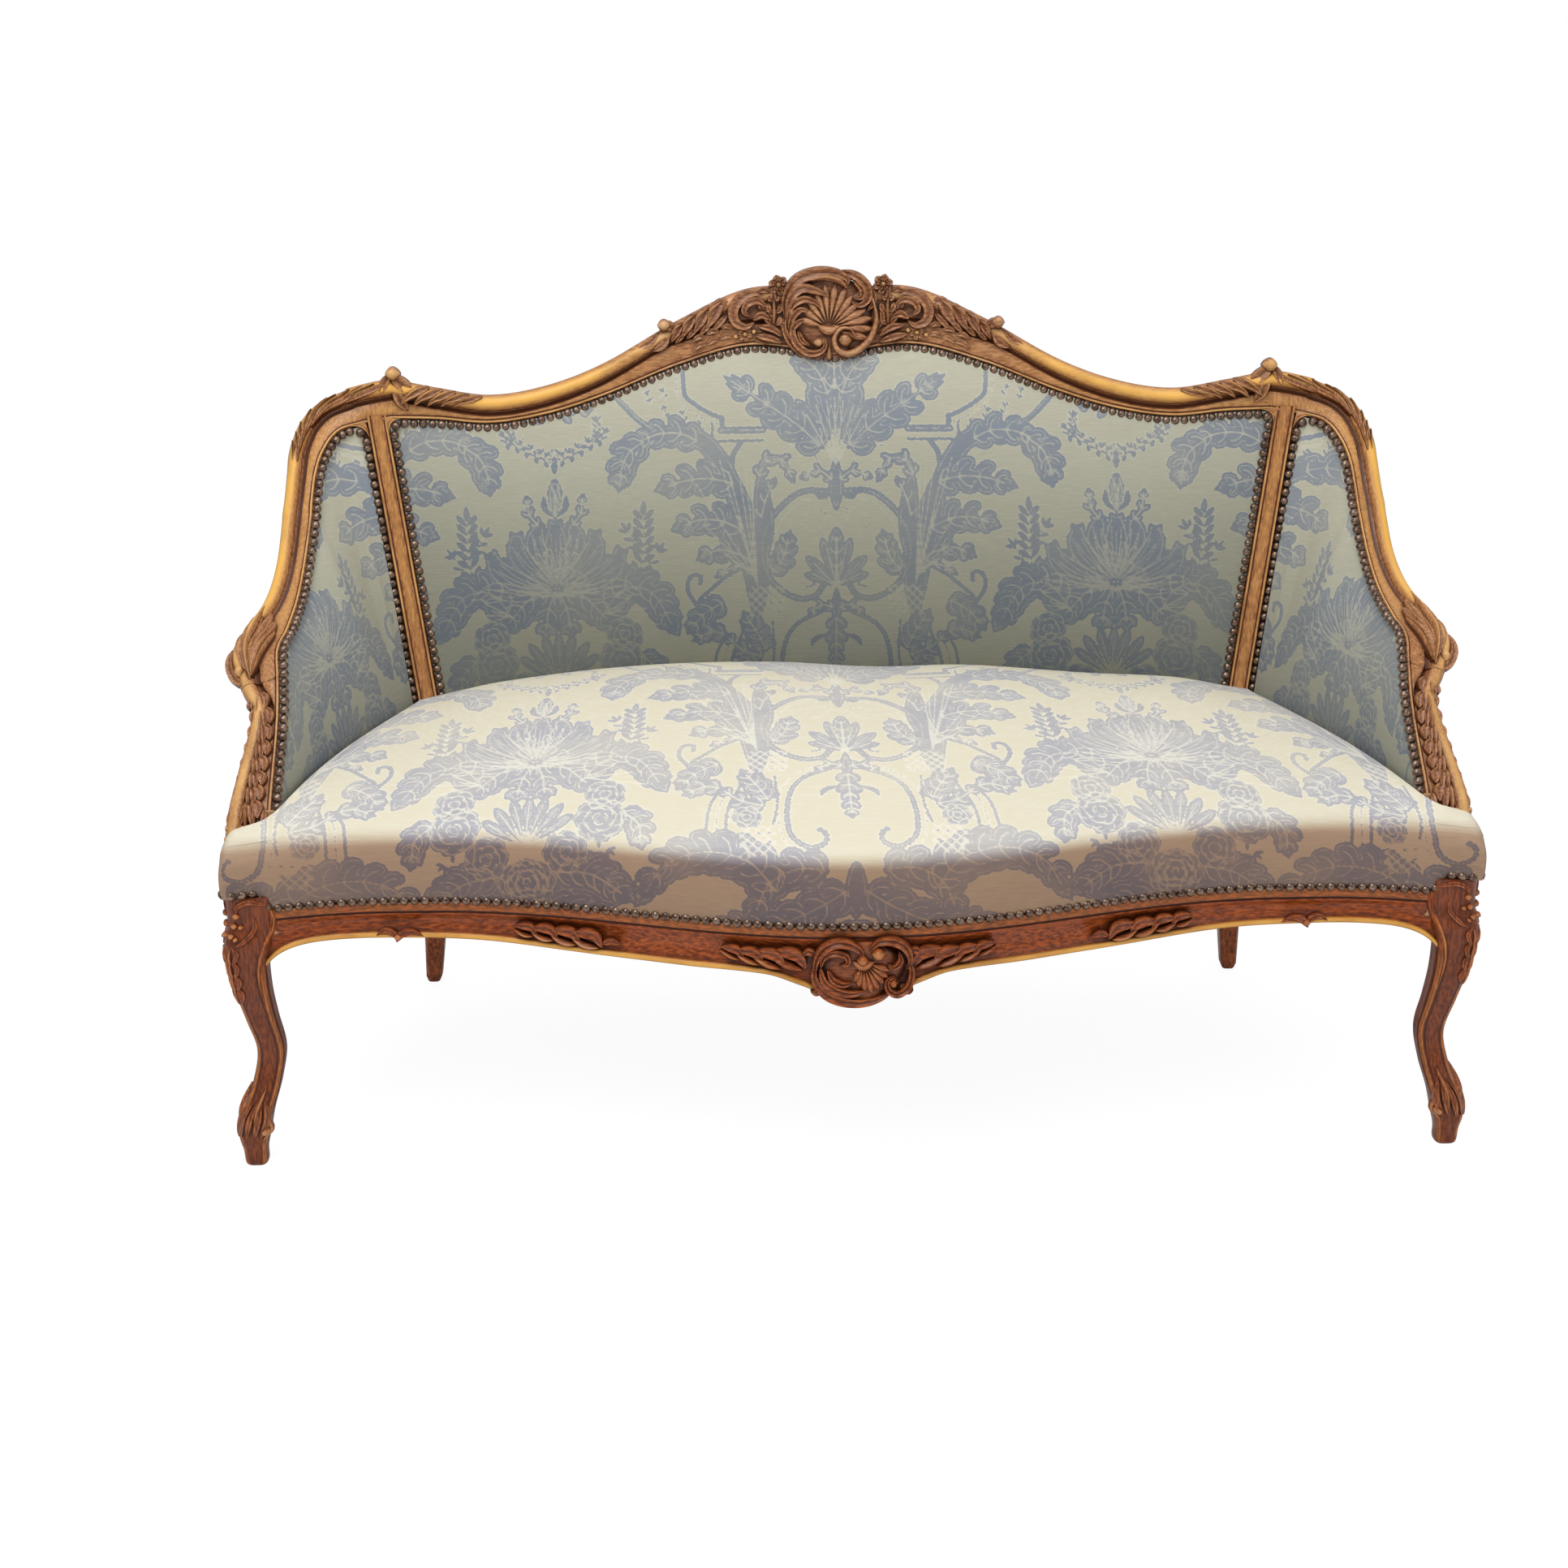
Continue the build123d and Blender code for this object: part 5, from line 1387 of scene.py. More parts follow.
@dataclass
class FrontRail:
    """Serpentine front rail: band, groove, hollow and gilt bead, with shell and sprays."""

    reach: float = LEG_X - LEG_BLOCK / 2 + 13

    def draw(self) -> Draft:
        """Moulding, then the carving."""
        x = np.linspace(-self.reach, self.reach, 420)
        low = RAIL_LOW - along(APRON_FORM, np.abs(x))[..., 0]
        hollow = np.linspace(0, 1, 7)[None, :]
        turn = np.linspace(0, math.pi, 9)[None, :]
        lo = low[:, None]
        zero = np.zeros_like(lo)
        parts = [
            (zero + [[46, 46, 6.5, 6.5]], zero + [[275, 351, 351, 320]], [0.3] * 4, [0] * 4),
            (zero + [[1.2, 0.2, 0, 0, 0.3]], zero + [[318.2, 317.4, 315, 309, 307.4]],
             [0.3, 0.95, 0.75, 0.75, 0.6], [0.1] * 5),
            (zero + [[2.0, 2.0, 0.4]], zero + [[306.6, 305.2, 304.2]], [0.0, 0.0, 0.5], [0] * 3),
            (0.6 + 5.2 * np.sin(math.pi * hollow**0.8) + 3 * hollow, 303 + (lo + 9 - 303) * hollow,
             [0.7, 0.6, 0.55, 0.5, 0.5, 0.5, 0.3], [0] * 7),
            (zero + 3.2 - 4.4 * np.sin(turn), lo + 4 + 4 * np.cos(turn), 0.45 + 0.5 * np.sin(turn[0]),
             0.75 * np.sin(turn[0])),
            (zero + [[8, 25, 25]], zero + lo * [[1, 1, 0]] + [[0, 0, 275]], [0.3, 0.2, 0.2], [0] * 3),
        ]
        depth, z, patina, gilt = end_to_end(parts, len(x))
        draft = Draft("front_rail_carved")
        marks = np.column_stack([patina, gilt, np.full(len(gilt), 0.9)])
        points = np.stack([np.broadcast_to(x[:, None], z.shape), front_curve(x)[:, None] + depth, z], -1)
        draft.grid(points, marks, closed=True, capped=True)
        self._shell(Carver(draft, apron_face, 0.75))
        self._sprays(Carver(draft, apron_face, 0.8, mirror=True))
        return draft

    def _shell(self, c: Carver) -> None:
        """The inverted shell under the middle."""
        # painted shade: the sunk ground behind the flutes is darkened, and the flutes a little
        c.tone = 0.45
        c.lobe([(3, 303), (3, 270), (4, 234)], Form.DOME, 98, 6, 0, 0.5, 0.0, 25, 0.5)
        c.tone = 0.88
        c.fan((4, 281), [26, 32, 37, 40, 39, 36, 34, 31], [-158, -170, 178, 166, 153, 140, 126, 112], 9, 6, 5)
        c.lobe([(-8, 281), (3, 276), (16, 281)], Form.DOME, 11, 8, 8)
        c.button((3, 283), 6.5, 10, 8)
        c.tone = 1.0
        # the scroll on the left that rolls over into the middle, with its eye
        c.cut(APRON_SHELL)
        for way in (-1, 1):
            c.lobe([(3 + way * 44, 250), (3 + way * 52, 242), (3 + way * 58, 243)], Form.HOLLOW, 10, 8, 2,
                   0.4, 2)
        for way in (-1, 1):
            c.lobe([(3 + way * 50, 286), (3 + way * 60, 291), (3 + way * 68, 286)], Form.HOLLOW, 9, 7, 2,
                   0.4, 1)

    def _sprays(self, c: Carver) -> None:
        """Leaf sprays along the hollow and the small scrolls in the lower edge."""
        for x, z, size in ((60, 281, 1.2), (84, 280, 1.1), (108, 282, 0.95), (130, 285, 0.8)):
            c.lobe([(x, z - 9 * size), (x + 9 * size, z + 4 * size), (x + 30 * size, z + 7 * size)],
                   Form.HOLLOW, 14 * size, 7, 1, 0.5, 2)
            c.lobe([(x + 4, z - 11 * size), (x + 17 * size, z - 7 * size), (x + 33 * size, z + 1)],
                   Form.RIDGE, 9 * size, 6, 1.5)
        for x, z, size in ((292, 283, 1.1), (318, 284, 1.05), (344, 286, 0.95), (368, 288, 0.8)):
            c.lobe([(x, z - 8 * size), (x + 8 * size, z + 5 * size), (x + 30 * size, z + 6 * size)],
                   Form.HOLLOW, 14 * size, 7, 1, 0.5, 2)
            c.lobe([(x + 4, z - 9 * size), (x + 18 * size, z - 8 * size), (x + 32 * size, z - 1)],
                   Form.RIDGE, 9 * size, 6, 1.5)
        c.cut(APRON_SPRAYS)


@dataclass
class FrontLeg:
    """Cabriole leg: an S with ridged edges, a scrolled toe on a small block, and a carved knee."""

    def draw(self) -> Draft:
        """The leg below the rails, its block, and the carving on knee and toe.

        The section is a rounded square, |cos|^p + |sin|^p = 1 with p = 3.4, that is grooved
        inside its corners and bellied at the toe.
        """
        draft = Draft("front_leg_carved")
        share = np.linspace(0, 337 / RAIL_LOW, 190)
        form = along(LEG_FORM, share)
        lean, width = form[:, 0] * smooth(1.12, 1.0, share), form[:, 1]
        round_foot = np.sqrt(np.clip(1 - (1 - np.clip(share / 0.03, 0, 1)) ** 2, 0, 1)) * 0.22 + 0.78
        angle = np.linspace(0, 2 * math.pi, 73)[:-1]
        c, s = np.cos(angle)[None, :], np.sin(angle)[None, :]
        radius = (np.abs(c) ** 3.4 + np.abs(s) ** 3.4) ** (-1 / 3.4)
        near = np.minimum(np.abs(c), np.abs(s)) / np.maximum(np.abs(c), np.abs(s))
        groove = np.exp(-(((near - 0.62) / 0.09) ** 2))
        groove = groove * smooth(0.2, 0.3, share)[:, None] * smooth(0.98, 0.86, share)[:, None]
        hollow = np.exp(-((near / 0.4) ** 2)) * smooth(0.22, 0.4, share)[:, None] * smooth(1.0, 0.9,
                                                                                           share)[:, None]
        groove, radius = groove * smooth(1.15, 0.95, share)[:, None], lerp(radius, np.minimum(radius, 1.17),
                                                                           smooth(0.9, 1.1, share)[:, None])
        size = radius * (width * round_foot / 2)[:, None] - 1.5 * groove - 0.8 * hollow
        x, y = LEG_X + lean[:, None] + size * c, LEG_Y - lean[:, None] + size * s
        z = np.broadcast_to((share * RAIL_LOW)[:, None], x.shape)
        marks = np.zeros((*x.shape, 3))
        ridge = np.exp(-(((near - 0.86) / 0.1) ** 2)) * smooth(0.98, 0.86, share)[:, None]
        marks[..., 0] = np.clip(0.28 - 0.25 * groove + 0.6 * ridge, 0, 1)
        marks[..., 1] = 0.22 * ridge
        marks[..., 2] = 0.85
        draft.grid(np.stack([x, y, z], -1), marks, closed=True, capped=True)
        half = LEG_BLOCK / 2 - 1
        inner = np.array([(-half, -half + 14), (half - 14, -half + 14), (half - 14, half), (-half, half)])
        core = np.stack([np.column_stack([LEG_X + inner[:, 0], LEG_Y + inner[:, 1],
                                          np.full(4, z)]) for z in (330.0, 351.0)])
        draft.grid(core, (0.4, 0.0, 0.85), closed=True, capped=True)
        self._knee(draft)
        self._toe(draft)
        return draft

    def _face(self, turned_side: bool) -> Place:
        """Face of the leg as (distance from its axis, height): the front, or the outer side."""
        def place(s, z, out):
            s, z, out = np.broadcast_arrays(s, z, out)
            form = along(LEG_FORM, np.clip(z / RAIL_LOW, 0, 1))
            lean, half = form[..., 0] * smooth(1.12, 1.0, z / RAIL_LOW), form[..., 1] / 2 - 0.4
            half = half * (1 - np.minimum(0.97, np.abs(s) / half) ** 3.4) ** (1 / 3.4)
            if turned_side:
                return np.stack([LEG_X + lean + half + out, LEG_Y - lean + s, z], -1)
            return np.stack([LEG_X + lean + s, LEG_Y - lean - half - out, z], -1)
        return place

    def _knee(self, draft: Draft) -> None:
        """Cartouche with buds on the knee, on the front and the outer side alike."""
        for side in (False, True):
            c = Carver(draft, self._face(side), 0.8)
            way = -1 if side else 1
            c.lobe([(way * -24, 326), (way * -27, 300), (way * -20, 272), (way * -14, 240),
                    (way * -13, 205)], Form.RIDGE, 7, 4.5, 0, 0.35, 0.0, 26)
            c.lobe([(way * -22, 328), (way * -4, 333), (way * 10, 328), (way * 14, 316)], Form.HOLLOW, 7,
                   4.5, 0, 0.5, 1)
            c.lobe([(way * -6, 318), (way * -8, 300), (way * 2, 286), (way * 12, 280)], Form.HOLLOW, 7, 4, 0,
                   0.5, 1)
            for s, z, r in ((13, 316, 4.5), (16, 304, 4.2), (8, 303, 3.5), (18, 292, 4), (12, 289, 3.2)):
                c.button((way * s, z), r, 4.5, 0.5)
            for index in range(4):
                z = 280 - 17 * index
                c.lobe([(way * 16, z), (way * 9, z - 10), (way * 14, z - 24)], Form.HOLLOW, 7, 4, 0, 0.5, 1)
                c.lobe([(way * 17, z - 2), (way * 18, z - 12), (way * 16, z - 25)], Form.RIDGE, 6, 4, 0, 0.5,
                       1)

    def _toe(self, draft: Draft) -> None:
        """Leaf and bead on the toe."""
        for side in (False, True):
            c = Carver(draft, self._face(side), 0.6)
            way = -1 if side else 1
            for s, bend in ((-9, -14), (-2, -4), (6, 6), (13, 15)):
                c.lobe([(way * s * 0.5, 84), (way * bend, 62), (way * s * 1.1, 40)], Form.HOLLOW, 9, 5, 0,
                       0.6, 2)
            c.lobe([(way * -2, 96), (way * 0, 76), (way * 0, 52)], Form.RIDGE, 7, 5, 1)
            c.button((way * -15, 46), 5.5, 6, 1)
            c.lobe([(way * -16, 58), (way * -20, 46), (way * -12, 36)], Form.DOME, 6, 5)


@dataclass
class PanelCorners:
    """Rounded corners where the beads of the crest and of the arms turn into those of the stiles."""

    size: float = 22.0

    def lines(self) -> list[tuple[np.ndarray, np.ndarray, float]]:
        """The right side's two corners: sharp corner, rounded edge, and the arm's share beside it.

        The edge is a parabola, (1 - t)^2 A + 2t(1 - t) P + t^2 B, from one sharp edge to the other.
        """
        heights = np.linspace(CORNER_Z - 60, CORNER_Z + 20, 400)
        x = post_x(heights) - POST_BAND / 2
        top = int(np.abs(crest_edge(x)[0] - heights).argmin())
        beside = x[top] - self.size
        across = np.array([beside, 0.0, float(crest_edge(np.array([beside]))[0][0])])
        arm, shares = whole_arm(), np.linspace(-0.08, 0.08, 500)
        edge = arm.at(shares, 0.0, 0.0)
        start = int(np.abs(edge[:, 0] - post_x(edge[:, 2]) - POST_BAND / 2).argmin())
        far = start + int((np.linalg.norm(edge[start:] - edge[start], axis=1) > self.size).argmax())
        found = []
        for sharp, first, side, share in (
            (np.array([x[top], 0.0, heights[top]]), across, -1, 0.0), (edge[start], edge[far], 1,
                                                                       float(shares[far])),
        ):
            low = sharp[2] - self.size
            last = np.array([post_x(low) + side * POST_BAND / 2, 0.0, low])
            for point in (sharp, first, last):
                if point[1] == 0.0:
                    point[1] = back_y(point[0], point[2])
            t = np.linspace(0, 1, 25)[:, None]
            found.append((sharp, (1 - t) ** 2 * first + 2 * t * (1 - t) * sharp + t**2 * last, share))
        return found

    def draw(self) -> Draft:
        """A small spandrel in each corner, with the bead along its rounded edge."""
        draft = Draft("panel_corners")
        share = np.array([0.0, 0.35, 0.6, 0.74, 0.80, 0.86, 0.92, 0.97, 1.0, 1.0])
        rise = np.array([1.0, 1.5, 1.5, 1.2, 2.0, 2.4, 2.3, 1.7, 0.4, -3.0])
        marks = np.column_stack([[0.5, 0.7, 0.7, 0.2, 0.8, 1, 1, 0.8, 0.3, 0.1],
                                 [0.2, 0.3, 0.3, 0.1, 0.4, 0.4, 0.4, 0.3, 0, 0], np.zeros(10)])
        for sharp, edge, _ in self.lines():
            behind = sharp + 2.5 * unit(sharp - edge[12])
            points = behind + (edge[:, None] - behind) * share[None, :, None] + rise[None, :, None] * np.array(OUT_FACE)
            for way in (1, -1):
                draft.grid(points * (way, 1, 1), np.broadcast_to(marks, points.shape), outward=OUT_FACE)
        return draft


@dataclass
class RearPost:
    """Rear leg and back stile in one: a splayed foot, a block, and a moulded band between the nails."""

    def draw(self) -> Draft:
        """The leg swept on its kick, which fades as the square of the height left, then the stile."""
        draft = Draft("rear_post_moulded")
        share = np.linspace(0, 1, 40)
        kick = (1 - share) ** 2
        width, depth = lerp(46.0, 21.0, kick**0.7) / 2, lerp(38.0, 21.0, kick**0.7) / 2
        edge = np.clip(share / 0.02, 0.75, 1)
        chamfer = 3.5
        corner = [(1, -1), (-1, -1), (-1, 1), (1, 1)]
        ring = []
        for sx, sy in corner:
            first, second = ((sx, sy, 0, 1), (sx, sy, 1, 0)) if sx * sy < 0 else ((sx, sy, 1, 0),
                                                                                  (sx, sy, 0, 1))
            ring += [first, second]
        x = np.stack([POST_X + 22 * kick + sx * (width * edge - chamfer * cx) for sx, sy, cx, cy in ring], 1)
        y = np.stack([POST_Y + 58 * kick + sy * (depth * edge - chamfer * cy) for sx, sy, cx, cy in ring], 1)
        z = np.broadcast_to((share * 382.0)[:, None] * 1.0, x.shape)
        draft.grid(np.stack([x, y, z], -1), (0.55, 0.0, 0.75), closed=True, capped=True)
        heights = np.linspace(376, CORNER_Z + 4, 160)
        centre = post_x(heights)
        band = POST_BAND / 2
        profile = np.array([
            (-23, 28.8), (-23, 9), (-12.5, 9), (-12.5, 0.8), (-12.1, -0.3), (-11.3, -1.1), (-10.3, -1.2), (-9.3, -0.5),
            (-8.7, 0.9), (-8.0, 1.0), (-7.2, 0.1), (-4, 0.4), (0, 0.5), (4, 0.4), (7.2, 0.1), (8.0, 1.0), (8.7, 0.9),
            (9.3, -0.5), (10.3, -1.2), (11.3, -1.1), (12.1, -0.3), (band, 0.8), (band, 14), (23, 14), (23,
                                                                                                       28.8),
        ])
        patina = np.array([0.5, 0.5, 0.1, 0.3, 0.7, 1, 1, 0.7, 0.05, 0.05, 0.6, 0.75, 0.8, 0.75, 0.6, 0.05,
                           0.05, 0.7, 1, 1, 0.7, 0.3, 0.1, 0.5, 0.5])
        x = centre[:, None] + profile[None, :, 0]
        y = back_y(x, heights[:, None]) + profile[None, :, 1]
        behind = (profile[:, 1] > 20)[None, :] & (heights < 440)[:, None]
        y = np.where(behind, np.maximum(y, back_y(x, 440.0) + 28.6), y)
        marks = np.column_stack([patina, 0.3 * (patina > 0.65), np.full(len(patina), 0.15)])
        z = np.broadcast_to(heights[:, None], x.shape)
        draft.grid(np.stack([x, y, z], -1), marks, closed=True, capped=True)
        return draft


@dataclass
class SideRail:
    """Side seat rail, moulded on its outer face like the front."""

    def draw(self) -> Draft:
        """A plank bent in plan, with a bead along its lower edge."""
        draft = Draft("side_rail_moulded")
        share = np.linspace(0, 1.035, 90)
        section = np.array([(-18, 275), (-18, 351), (18, 351), (18, 312), (17, 308), (18, 304), (15.5, 296),
                            (14.5, 288), (16.5, 283), (19.5, 281), (20.5, 278), (18.5, 275)])
        patina = [0.3, 0.3, 0.5, 0.7, 0.05, 0.7, 0.6, 0.5, 0.4, 0.95, 0.9, 0.4]
        x, y = side_point(share)
        points = np.stack([x[:, None] + section[:, 0], np.broadcast_to(y[:, None], (90, 12)),
                           np.broadcast_to(section[:, 1], (90, 12))], -1)
        marks = np.column_stack([patina, np.zeros(12), np.full(12, 0.9)])
        draft.grid(points, marks, closed=True, capped=True)
        return draft


# ---- Nails ----
@dataclass
class NailRows:
    """Dome-headed nails set along lines."""

    width: float = NAIL_WIDTH

    def template(self) -> tuple[np.ndarray, np.ndarray, np.ndarray]:
        """One dome of a few dozen faces: rings of ten points whose height is a circle's."""
        angle = np.linspace(0, 2 * math.pi, 11)[:-1]
        rings = [(1.0, -0.3), (1.0, 0.06), (0.87, 0.42), (0.55, 0.76)]
        points = [np.column_stack([r * np.cos(angle), r * np.sin(angle), np.full(10, h)]) for r, h in rings]
        quads = []
        for ring in range(3):
            a = np.arange(10) + ring * 10
            b = (np.arange(10) + 1) % 10 + ring * 10
            quads.append(np.stack([a, b, b + 10, a + 10], -1))
        top = np.stack([np.arange(30, 40), np.roll(np.arange(30, 40), -1), np.full(10, 40)], -1)
        foot = np.stack([np.roll(np.arange(10), -1), np.arange(10), np.full(10, 41)], -1)
        all_points = np.concatenate([*points, [[0, 0, 0.9]], [[0, 0, -0.3]]]) * (self.width / 2)
        return all_points, np.concatenate(quads), np.concatenate([top, foot])

    def place(self, draft: Draft, centres: np.ndarray, out: np.ndarray) -> None:
        """Set a nail at each centre, standing in its outward direction."""
        points, quads, triangles = self.template()
        out = unit(out)
        side = unit(np.cross(out, np.broadcast_to([0.31, 0.2, 0.93], out.shape)))
        up = np.cross(out, side)
        # the heads' width wavers by up to 4 % from nail to nail
        wobble = 1 + 0.04 * np.sin(np.arange(len(centres)) * 2.4)[:, None, None]
        made = centres[:, None] + wobble * (side[:, None] * points[None, :, :1] + up[:, None] * points[None, :, 1:2]) + out[:, None] * points[None, :, 2:]
        shift = (np.arange(len(centres)) * len(points))[:, None, None]
        draft.quads.append((quads[None] + shift).reshape(-1, 4) + draft.size)
        draft.triangles.append((triangles[None] + shift).reshape(-1, 3) + draft.size)
        draft.points.append(made.reshape(-1, 3))
        draft.marks.append(np.tile([[0.6, 0.0, 0.0]], (made.shape[0] * made.shape[1], 1)))
        draft.size += made.shape[0] * made.shape[1]

    def line(self, draft: Draft, points: np.ndarray, out: np.ndarray, both: bool = False) -> None:
        """Nails along a polyline; with both, on the left as well."""
        first = resampled(points, NAIL_PITCH)
        turned_out = np.stack([np.interp(np.linspace(0, 1, len(first)), np.linspace(0, 1, len(out)),
                                         out[:, k]) for k in range(3)], 1)
        self.place(draft, first, turned_out)
        if both:
            self.place(draft, first * (-1, 1, 1), turned_out * (-1, 1, 1))

    def draw(self) -> Draft:
        """Every visible row."""
        draft = Draft("dome_nails")
        # along the front rail and up over each knee
        x = np.linspace(0, 711, 240)
        z = 320.5 + 21 * smooth(668, 690, x)
        front = np.stack([x, front_curve(x) - 0.2, z], -1)
        whole = np.concatenate([front[::-1] * (-1, 1, 1), front[1:]])
        self.line(draft, whole, np.broadcast_to([0.0, -1.0, 0.1], whole.shape))
        side = np.stack([np.full(20, 722.0), np.linspace(-284, -252, 20), np.full(20, 341.5)], -1)
        self.line(draft, side, np.broadcast_to([1.0, 0.0, 0.1], side.shape), True)
        # along the crest, then down each side of the stiles
        corners = PanelCorners()
        for sharp, edge, _ in corners.lines():
            inward = unit(np.cross(np.gradient(edge, axis=0), OUT_FACE))
            inward *= np.sign((inward * (edge[12] - sharp)).sum(-1, keepdims=True))
            row = edge + 6.2 * inward + 1.0 * np.array(OUT_FACE)
            self.line(draft, row, np.broadcast_to(OUT_FACE, row.shape), True)
        reach = POST_X + POST_SPLAY - POST_BAND / 2 - corners.size - 12
        run = crest_run(np.linspace(-reach, reach, 400))
        self.line(draft, run.at(run.places, -6.2, -1.0), np.broadcast_to(OUT_FACE, (400, 3)))
        heights = np.linspace(CORNER_Z - corners.size - 12, PANEL_LOW + 6, 100)
        for offset, drop in ((-POST_BAND / 2 - 6.2, 0.0), (POST_BAND / 2 + 6.0, 3.0)):
            x = post_x(heights) + offset
            stile = np.stack([x, back_y(x, heights) + 1.0 + drop * 0.3, heights - drop], -1)
            self.line(draft, stile, np.broadcast_to(OUT_FACE, stile.shape), True)
        arm = whole_arm()
        shares = np.linspace(corners.lines()[1][2] + 0.014, 0.915, 400)
        points = arm.at(shares, -6.2, -1.4)
        outward = arm.at(shares, -6.2, 1.0) - points
        self.line(draft, points, outward, True)
        return draft


# ---- Upholstery ----
@dataclass
class Seat:
    """Sprung seat: damask drawn from the nails over the swelling front and back under the pads."""

    figure: WovenFigure
    columns: int = 640
    end: float = 722.0

    def rear(self, x: np.ndarray) -> np.ndarray:
        """Where the seat meets the back, the foot of the arm, or the arm support."""
        reach = np.abs(x)
        behind = back_y(np.minimum(reach, 556.0), PANEL_LOW) + REBATE - 7.5 - 5
        share = np.linspace(0, 1, 40)
        foot_x, foot_y = foot_point(share, 6.0)
        side_x = np.concatenate([[553.0], foot_x[1:], [668.0, 674.0, 680.0, 690.0]])
        side_y = np.concatenate([[204.0], foot_y[1:], [-222.0, -240.0, -249.0, -250.0]])
        beside = np.interp(reach, side_x, side_y)
        return np.where(reach < 553, np.maximum(behind, 204.0), beside)

    def draw(self) -> Draft:
        """A grid of sections from front to back.

        Each section is a smooth line through points set from the rail's face: tucked under the
        nails, swelling 10 mm forward, round over the lip, then a parabola's crown to the rear.
        """
        draft = Draft("seat_upholstery")
        x = np.concatenate([np.linspace(-708, 708, self.columns)])
        roll = np.linspace(0, math.pi / 2, 9)[1:]
        drop = np.linspace(0, 1, 22)[1:]
        side_x = np.concatenate([708 + 14 * np.sin(roll), np.full(21, self.end)])
        side_fall = np.concatenate([14 * (1 - np.cos(roll)), np.full(21, 14.0)])
        side_drop = np.concatenate([np.zeros(8), drop])
        x = np.concatenate([-side_x[::-1], x, side_x])
        fall = np.concatenate([side_fall[::-1], np.zeros(self.columns), side_fall])
        drop = np.concatenate([side_drop[::-1], np.zeros(self.columns), side_drop])
        share = np.minimum(1, np.abs(x) / LEG_X)
        face, rear = front_curve(x), self.rear(x)
        low, lip = skirt_low(x), LIP_Z - 8 * share**4
        rear_z = along(SEAT_REAR, x)[..., 0]
        depth = rear - face
        crown = 25 * (depth / depth.max()) ** 0.9
        knots_y, knots_z = [face + 5.5, face + 0.8, face - 5.5, face - 9.5, face - 10, face - 5, face + 7], \
            [low + 1, low, low + 14, lerp(low, lip, 0.42), lerp(low, lip, 0.72), lip - 6, lip + 4]
        for s in (0.05, 0.1, 0.2, 0.35, 0.5, 0.65, 0.8, 0.91, 0.975):
            knots_y.append(face + 7 + (rear - face - 7) * s)
            knots_z.append(lerp(lip + 5, rear_z, s) + crown * (1 - (2 * s - 1) ** 2) ** 0.85)
        knots_y += [rear + 1.5, rear + 6, rear + 8]
        knots_z += [rear_z - 3, rear_z - 14, rear_z - 34]
        knots = np.stack([np.stack(knots_y, 1), np.stack(knots_z, 1)], -1)
        middle = knots[len(x) // 2]
        steps = np.concatenate([[0.0], np.cumsum(np.linalg.norm(np.diff(middle, axis=0), axis=1))])
        count = int(steps[-1] / 2.3)
        table = np.column_stack([steps, knots.transpose(1, 0, 2).reshape(len(steps), -1)])
        found = along(table, np.linspace(0, steps[-1], count)).reshape(count, len(x), 2)
        y, z = found[..., 0], found[..., 1]
        turn = (1 - np.cos(np.minimum(fall / 14, 1) * math.pi / 2))
        front = np.exp(-np.maximum(0, y - face) / 18)
        y = y + 9 * turn * front
        z = np.maximum(z - fall, low) if False else z - np.minimum(fall, np.maximum(z - low, 0))
        z = lerp(z, np.minimum(z, low + 1.5 * np.ones_like(z)), drop)
        grid_x = np.broadcast_to(x, y.shape)
        # slight dimples where the nails draw the cloth in
        near = np.exp(-np.maximum(0, z - low) / 9) * (y < face + 6)
        y = y + 0.9 * near * np.cos(2 * math.pi * grid_x / NAIL_PITCH)
        points = np.stack([grid_x, y, z], -1)
        length = np.concatenate([np.zeros((1, len(x))),
                                 np.cumsum(np.linalg.norm(np.diff(points, axis=0), axis=2), 0)])
        y_middle, z_middle = y[:, len(x) // 2], z[:, len(x) // 2]
        lip_row = int(np.argmin(np.abs(middle[6, 0] - y_middle) + np.abs(middle[6, 1] - z_middle)))
        beyond = length - length[lip_row][None, :]
        up = 131 + (y[lip_row][None, :] + 137) / 1.45 + np.where(beyond > 0, beyond / 1.45, beyond)
        # painted shade: the cloth darkens over the front band below the lip
        wear_and_shade = smooth(LIP_Z + 7, LIP_Z - 12, z) * 0.95
        across = grid_x + np.sign(grid_x) * (fall + drop * 60)
        draft.grid(points, self.figure.marks(across + 4, up, wear_and_shade), outward=(0, -0.3, 1))
        return draft


